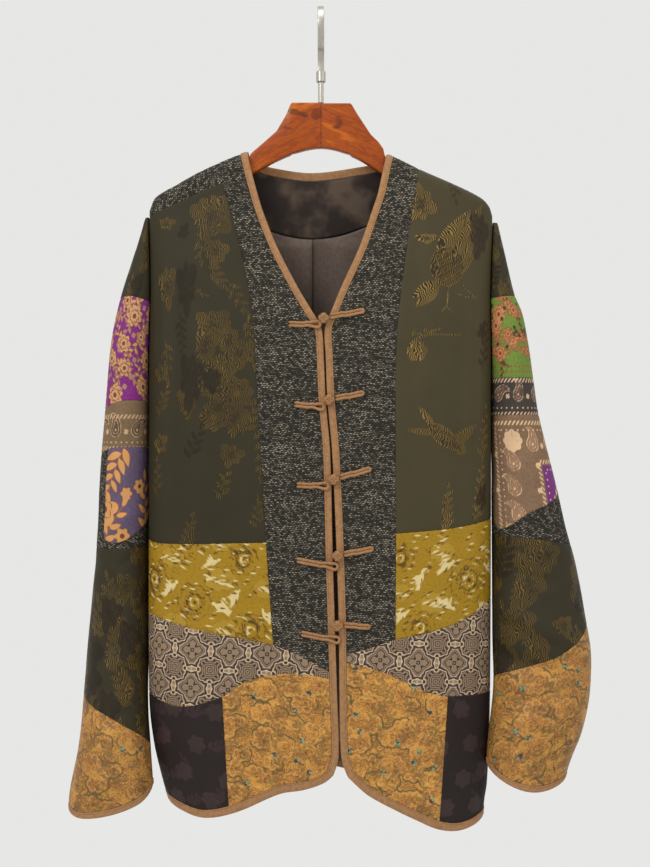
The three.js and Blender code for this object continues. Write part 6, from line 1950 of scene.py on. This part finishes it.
def hanger_half(side):
    """One wooden half: sections between its upper and its lower line, with round corners."""
    word = "left" if side < 0 else "right"
    upper = list(NECK_LINE_LEFT if side < 0 else NECK_LINE_RIGHT)
    upper += [(x, float(ridge_at(x * side)) + CLOTH + 2.2) for x in (100, 120, 139, 160, 170)]
    end = float(ridge_at(176 * side))
    upper.append((176, end + 8))
    lower = list(ARCH_LEFT if side < 0 else ARCH_RIGHT) + [(168, end + 20), (175, end + 16), (176, end + 10)]
    x = np.unique(np.concatenate([np.linspace(0.02, 33, 12), np.linspace(33, 36, 7), np.linspace(36, 168, 90),
                                  np.linspace(168, 176, 9)]))
    top = np.interp(x, *np.array(upper).T)
    foot = np.interp(x, *np.array(lower).T)
    foot[x < 168] = settle(foot[:, None], 3)[:, 0][x < 168]
    rings = []
    for place, a, b in zip(x, top, foot):
        shape = rounded_bar(HANGER_THICK / 2, max((b - a) / 2, 1.2), min(2.2, (b - a) / 2 * 0.9))
        across = np.full(len(shape), place * side)
        rings.append(np.stack([across, shape[:, 0], -(a + b) / 2 + shape[:, 1]], -1))
    obj = make_mesh(f"hanger_{word}", *tube(np.array(rings)), [FINISHES["wood"]])
    smooth_by_angle(obj)
    stand_for(obj, f"hanger_{word}")


def smooth_by_angle(obj, degrees=34):
    """Keeps edges sharp where the faces meet at more than an angle."""
    work = bmesh.new()
    work.from_mesh(obj.data)
    for edge in work.edges:
        if len(edge.link_faces) == 2:
            edge.smooth = edge.calc_face_angle(0) < math.radians(degrees)
    work.to_mesh(obj.data)
    work.free()


def hook_strip():
    """The flat strip: forward from the stem, up round the front, over the top and down behind."""
    middle = HOOK_INNER + HOOK_THICK / 2
    line = [(0, -78), (0, -71), (0, -64), (-1.5, -57), (-7, -50.5), (-13, -45)]
    for angle in np.radians(np.arange(212, -39, -6.25)):
        line.append((middle * math.cos(angle), -HOOK_INNER + middle * math.sin(angle)))
    line.append((middle * math.cos(-0.9) + 3.5, -HOOK_INNER + middle * math.sin(-0.9) - 1))
    path = spline([(0, y, z) for y, z in line], 150)
    section = rounded_bar(HOOK_THICK / 2, HOOK_WIDTH / 2, 0.7, 3)
    points, quads, cloth = carry(path, section, up=(1, 0, 0))
    obj = make_mesh("hook", points, quads, [FINISHES["steel"]], cloth)
    smooth_by_angle(obj)
    stand_for(obj, "hook")

    inner = math.hypot(HOOK_WIDTH, HOOK_THICK) / 2 + CAD_SEAM_GAP
    outer = inner + 1.2
    profile = np.array([(inner, -84), (outer - 0.3, -84), (outer, -83.6), (outer, -72.4), (outer - 0.3, -72),
                        (inner, -72), (inner, -84)])
    round_piece("hook_ferrule", profile, 40)
    top, foot = -78 - CAD_SEAM_GAP, -108.3 + CAD_SEAM_GAP
    profile = np.array([(0, foot), (2.9, foot), (3.2, foot + 0.3), (3.2, top - 0.3), (2.9, top), (0, top)])
    round_piece("hook_stem", profile, 28)


def round_piece(name, profile, sides):
    """A steel piece turned round the hook's upright axis."""
    points, quads = turned_shape(profile, sides, True)
    cloth = np.stack([points[:, 0] * 3, points[:, 2]], -1)
    obj = make_mesh(name, points, quads, [FINISHES["steel"]], cloth)
    smooth_by_angle(obj)
    stand_for(obj, name)


# Add-on

def length_property(name, default, description):
    """A property that is a length."""
    return FloatProperty(name=name, default=default, description=description, unit="LENGTH")


def colour_property(name, default, description):
    """A property that is a colour."""
    return FloatVectorProperty(name=name, default=default, description=description, subtype="COLOR",
                               size=len(default))


class JacketSizes(bpy.types.PropertyGroup):
    """Sizes of the jacket's trims and of the meshes."""
    binding_width: length_property("Binding width", 0.008, "How much of the binding shows beside the cloth")
    binding_proud: length_property("Binding height", 0.0007, "How far the binding stands over the cloth")
    cord: length_property("Cord", 0.0034, "Thickness of one strand of a frog")
    knot: length_property("Knot", 0.0126, "Width of a knot")
    spacing: length_property("Mesh spacing", 0.002, "Distance between points on a figured panel")
    plain_spacing: length_property("Plain spacing", 0.004, "Distance between points on a plain or hidden panel")


class JacketColours(bpy.types.PropertyGroup):
    """Colours of the trims and of the lining."""
    binding: colour_property("Binding", (0.300, 0.155, 0.068, 1), "Colour of the bindings and of the frogs")
    lining: colour_property("Lining", (0.100, 0.068, 0.052, 1), "Colour of the satin inside")
    wall: colour_property("Surroundings", (0.86, 0.86, 0.85), "Colour of the light all round")


FLOOR_HALF = 1.7
FLOOR_HEIGHT = -1.5
LIGHTS = (  # name, place, power, size
    ("key_light", (-1.3, -1.9, 1.0), 24, 0.8), ("fill_light", (1.8, -1.5, 0.1), 6, 1.6),
    ("back_light", (0.4, 2.2, 0.8), 12, 1.6), ("top_light", (0, -0.5, 1.5), 10, 1.0),
)
LIGHTS_AIM = (0, 0, -0.45)
WORLD_STRENGTH = 0.93
CAMERA_PLACE = (0.0046, -1.7, -0.488)
CAMERA_LENS = 61.38
LINING_FOOT = 846
PANEL_FINISH = {
    "yoke_tweed": "tweed_yoke", "band_tweed": "tweed_band", "green": "green", "mustard": "mustard",
    "taupe": "taupe", "hem_dark": "dark", "hem_gold": "gold",
}
FRONT_PAINT = {
    "left": {
        "green": paint_green_left, "mustard": paint_mustard_left, "hem_dark": paint_faint,
        "hem_gold": clouded(21, (-125, 750, 20, 905), 26, 24),
    },
    "right": {
        "green": paint_green_right, "mustard": paint_mustard_right, "hem_dark": paint_faint,
        "hem_gold": clouded(22, (20, 740, 140, 920), 26, 24),
    },
}
BACK_PAINT = {
    "back_green": leafy(31, (-220, 170, 220, 640), 24, 50), "back_mustard": paint_mustard_back,
    "back_hem_dark": paint_faint,
}
SLEEVE_PANELS = {
    "left": {
        # The sleeves' green panels use the darker copy of the green jacquard: painted shade
        "cap_green": ("deep_green", leafy(41, (-130, 235, 130, 345), 19, 36)),
        "upper_print": ("violet", flowered(42, (-130, 330, 130, 440), 31, 27, (457, 463))),
        "band_paisley": ("paisley_pale", paisleys([(484, -130, 130, 30, -70)], 22,
            [((-140, 469), (140, 469)), ((-140, 505), (140, 505))], [((-140, 498), (140, 498))])),
        "lower_print": ("blue_violet", paint_blue_violet),
        "tweed": ("tweed_sleeve", None),
        "lower_green": ("deep_green", leafy(45, (-140, 590, 140, 850), 26, 44)),
        "cuff_gold": ("gold_cuff", clouded(46, (-150, 780, 150, 920), 29, 25)),
        "cuff_binding": ("binding", None),
    },
    "right": {
        "cap_green": ("deep_green", leafy(51, (-130, 240, 130, 345), 19, 36)),
        "upper_print": ("leaf", flowered(52, (-130, 330, 130, 405), 24, 22, (412, 418))),
        "band_paisley": ("paisley_dark", paisleys([(444, -120, 130, 30, -60)], 20,
            [((-140, 428), (140, 428)), ((-140, 466), (140, 466))], [((-140, 459), (140, 459))])),
        "lower_print": ("paisley_taupe", paisleys(
            [(500, 14, 120, 30, -60), (522, -14, 10, 60, -90), (550, -16, 10, 60, -90),
             (580, -14, 10, 60, -90), (606, -16, 10, 60, -90), (510, -120, -50, 32, -80),
             (550, -120, -50, 32, -80)], 22,
            [((-38, 474), (-38, 660)), ((-38, 476), (140, 476))],
            [((-30, 480), (-30, 660)), ((-30, 484), (140, 484))],
            [((-12, 496), 13)], (22, 524, 60))),
        "tweed": ("tweed_sleeve", None),
        "lower_green": ("deep_green", leafy(55, (-150, 600, 150, 800), 26, 44)),
        "cuff_gold": ("gold_cuff", clouded(56, (-150, 690, 150, 900), 29, 25)),
        "cuff_binding": ("binding", None),
    },
}


def build_front(word):
    """Panels and binding of one front. Returns the heights of its seams at the side."""
    side = -1 if word == "left" else 1
    sizes = bpy.context.scene.jacket_sizes
    panels, bound, heights = front_edges(side)
    for key, edges in panels.items():
        paint = FRONT_PAINT[word].get(key)
        spacing = (sizes.spacing if paint or key == "taupe" else sizes.plain_spacing * 0.75) * 1000
        # The left front's green uses the darker copy of the green jacquard: painted shade
        finish = "deep_green" if (word, key) == ("left", "green") else PANEL_FINISH[key]
        materials = [FINISHES[finish], FINISHES["lining"]]
        body_panel(f"front_{word}_{key}", "front", edges, spacing, materials, paint)
    binding_strip(f"binding_front_{word}", "front", bound, side, [FINISHES["binding"]], FINISHES["thread"])
    return heights


def pleat_at(x, down):
    """The lining's pleat in the middle of the back: a narrow groove with a step beside it."""
    groove = 1 - smooth(PLEAT_AT - 3, PLEAT_AT + 1, x) + smooth(PLEAT_AT + 1, PLEAT_AT + 44, x)
    return smooth(LINING_TOP, LINING_TOP + 4, down) * PLEAT_DEEP * groove * bell((x - PLEAT_AT) / 90)


def lining_top(x):
    """Upper edge of the lining inside the back, below the facing's curved foot."""
    return LINING_TOP - 0.0036 * np.clip(x - PLEAT_AT, -62, 62) ** 2


class JACKET_OT_finishes(bpy.types.Operator):
    """Makes the finishes of cloth, wood and steel"""
    bl_idname = "jacket.finishes"
    bl_label = "Make Finishes"

    def execute(self, context):
        """Makes every finish."""
        make_finishes()
        return {"FINISHED"}


class JACKET_OT_stage(bpy.types.Operator):
    """Adds a pale floor, soft lights, pale surroundings and the camera"""
    bl_idname = "jacket.stage"
    bl_label = "Add Stage"

    def execute(self, context):
        """Adds the floor, the lights, the world and the camera."""
        mesh = bpy.data.meshes.new("floor")
        corners = [(x * FLOOR_HALF, y * FLOOR_HALF, 0) for x, y in ((-1, -1), (1, -1), (1, 1), (-1, 1))]
        mesh.from_pydata(corners, [], [(0, 1, 2, 3)])
        mesh.materials.append(FINISHES["floor"])
        floor = bpy.data.objects.new("floor", mesh)
        floor.location = (0, 0, FLOOR_HEIGHT)
        context.scene.collection.objects.link(floor)
        for name, place, power, size in LIGHTS:
            data = bpy.data.lights.new(name, "AREA")
            data.energy, data.size = power, size
            light = bpy.data.objects.new(name, data)
            light.location = place
            aim = Vector(LIGHTS_AIM) - Vector(place)
            light.rotation_euler = aim.to_track_quat("-Z", "Y").to_euler()
            context.scene.collection.objects.link(light)
        world = bpy.data.worlds.new("surroundings")
        world.use_nodes = True
        background = world.node_tree.nodes["Background"]
        background.inputs["Color"].default_value = (*context.scene.jacket_colours.wall, 1)
        background.inputs["Strength"].default_value = WORLD_STRENGTH
        context.scene.world = world
        context.scene.view_settings.view_transform = "Standard"
        data = bpy.data.cameras.new("camera")
        data.lens = CAMERA_LENS
        data.clip_end = 50
        camera = bpy.data.objects.new("camera", data)
        camera.location = CAMERA_PLACE
        camera.rotation_euler = (math.pi / 2, 0, 0)
        context.scene.collection.objects.link(camera)
        context.scene.camera = camera
        return {"FINISHED"}


class JACKET_OT_body(bpy.types.Operator):
    """Builds both fronts, their bindings, and the back with the layers inside it"""
    bl_idname = "jacket.body"
    bl_label = "Build Body"

    def execute(self, context):
        """Builds the panels of the body."""
        sizes = context.scene.jacket_sizes
        left, right = build_front("left"), build_front("right")
        panels, foot, neck = back_edges(left, right)
        for name, edges in panels.items():
            finish = PANEL_FINISH[name.removeprefix("back_")]
            spacing = sizes.plain_spacing * 1000 * 0.75
            materials = [FINISHES[finish], FINISHES["lining"]]
            body_panel(name, "back", edges, spacing, materials, BACK_PAINT.get(name))
        trim = [FINISHES["binding"]], FINISHES["thread"]
        binding_strip("binding_back_hem", "back", foot, 1, *trim)
        binding_strip("binding_back_neck", "back", neck, -1, *trim)
        neck_line = through(NECK_BACK)
        seam = lambda x: lining_top(x) + 0.6
        layer_inside("facing_back_neck", -88, 80, lambda x: neck_line(x) + 0.6, lining_top, 3,
                     FINISHES["facing"])
        layer_inside("lining_back", -176, 176, seam, lambda x: 0 * x + LINING_FOOT, 4, FINISHES["pleated"],
                     pleat_at)
        return {"FINISHED"}


class JACKET_OT_sleeves(bpy.types.Operator):
    """Builds the panels of both sleeves"""
    bl_idname = "jacket.sleeves"
    bl_label = "Build Sleeves"

    def execute(self, context):
        """Builds each sleeve from its cap to its cuff."""
        sizes = context.scene.jacket_sizes
        for word, table in SLEEVE_PANELS.items():
            edges = sleeve_edges(word)
            for key, (finish, paint) in table.items():
                spacing = (sizes.spacing if paint else sizes.plain_spacing * 0.75) * 1000
                if "print" in key or "paisley" in key:
                    spacing *= 0.8
                materials = [FINISHES[finish]]
                if key != "cuff_binding":
                    materials.append(FINISHES["lining"])
                patch, closed = edges[key]
                sleeve_panel(word, key, patch, closed, spacing, materials, paint)
        return {"FINISHED"}


class JACKET_OT_frogs(bpy.types.Operator):
    """Builds the five frogs with their knots"""
    bl_idname = "jacket.frogs"
    bl_label = "Build Frogs"

    def execute(self, context):
        """Builds the frogs from the top down."""
        for number, row in enumerate(FROGS, 1):
            build_frog(number, row, context.scene.jacket_sizes)
        return {"FINISHED"}


class JACKET_OT_hanger(bpy.types.Operator):
    """Builds the two wooden halves of the hanger and its steel hook"""
    bl_idname = "jacket.hanger"
    bl_label = "Build Hanger"

    def execute(self, context):
        """Builds the hanger and its hook."""
        hanger_half(-1)
        hanger_half(1)
        hook_strip()
        return {"FINISHED"}


class JACKET_PT_panel(bpy.types.Panel):
    """Sidebar panel that lists the jacket's sizes, colours and steps"""
    bl_idname = "JACKET_PT_panel"
    bl_label = "Patchwork Jacket"
    bl_space_type = "VIEW_3D"
    bl_region_type = "UI"
    bl_category = "Jacket"

    def draw(self, context):
        """Lists the properties and the operators."""
        for group in (context.scene.jacket_sizes, context.scene.jacket_colours):
            for key in group.__annotations__:
                self.layout.prop(group, key)
        for operator in OPERATORS:
            self.layout.operator(operator.bl_idname)


OPERATORS = (
    JACKET_OT_finishes, JACKET_OT_body, JACKET_OT_sleeves, JACKET_OT_frogs, JACKET_OT_hanger, JACKET_OT_stage,
)
CLASSES = (JacketSizes, JacketColours, *OPERATORS, JACKET_PT_panel)


def register():
    """Registers the classes and adds the property groups to the scene."""
    for cls in CLASSES:
        bpy.utils.register_class(cls)
    bpy.types.Scene.jacket_sizes = PointerProperty(type=JacketSizes)
    bpy.types.Scene.jacket_colours = PointerProperty(type=JacketColours)


def unregister():
    """Removes the property groups and the classes."""
    del bpy.types.Scene.jacket_colours
    del bpy.types.Scene.jacket_sizes
    for cls in reversed(CLASSES):
        bpy.utils.unregister_class(cls)


def main():
    """Builds the whole scene."""
    register()
    bpy.ops.jacket.finishes()
    bpy.ops.jacket.body()
    bpy.ops.jacket.sleeves()
    bpy.ops.jacket.frogs()
    bpy.ops.jacket.hanger()
    bpy.ops.jacket.stage()
    bpy.context.view_layer.update()


if __name__ == "__main__":
    main()
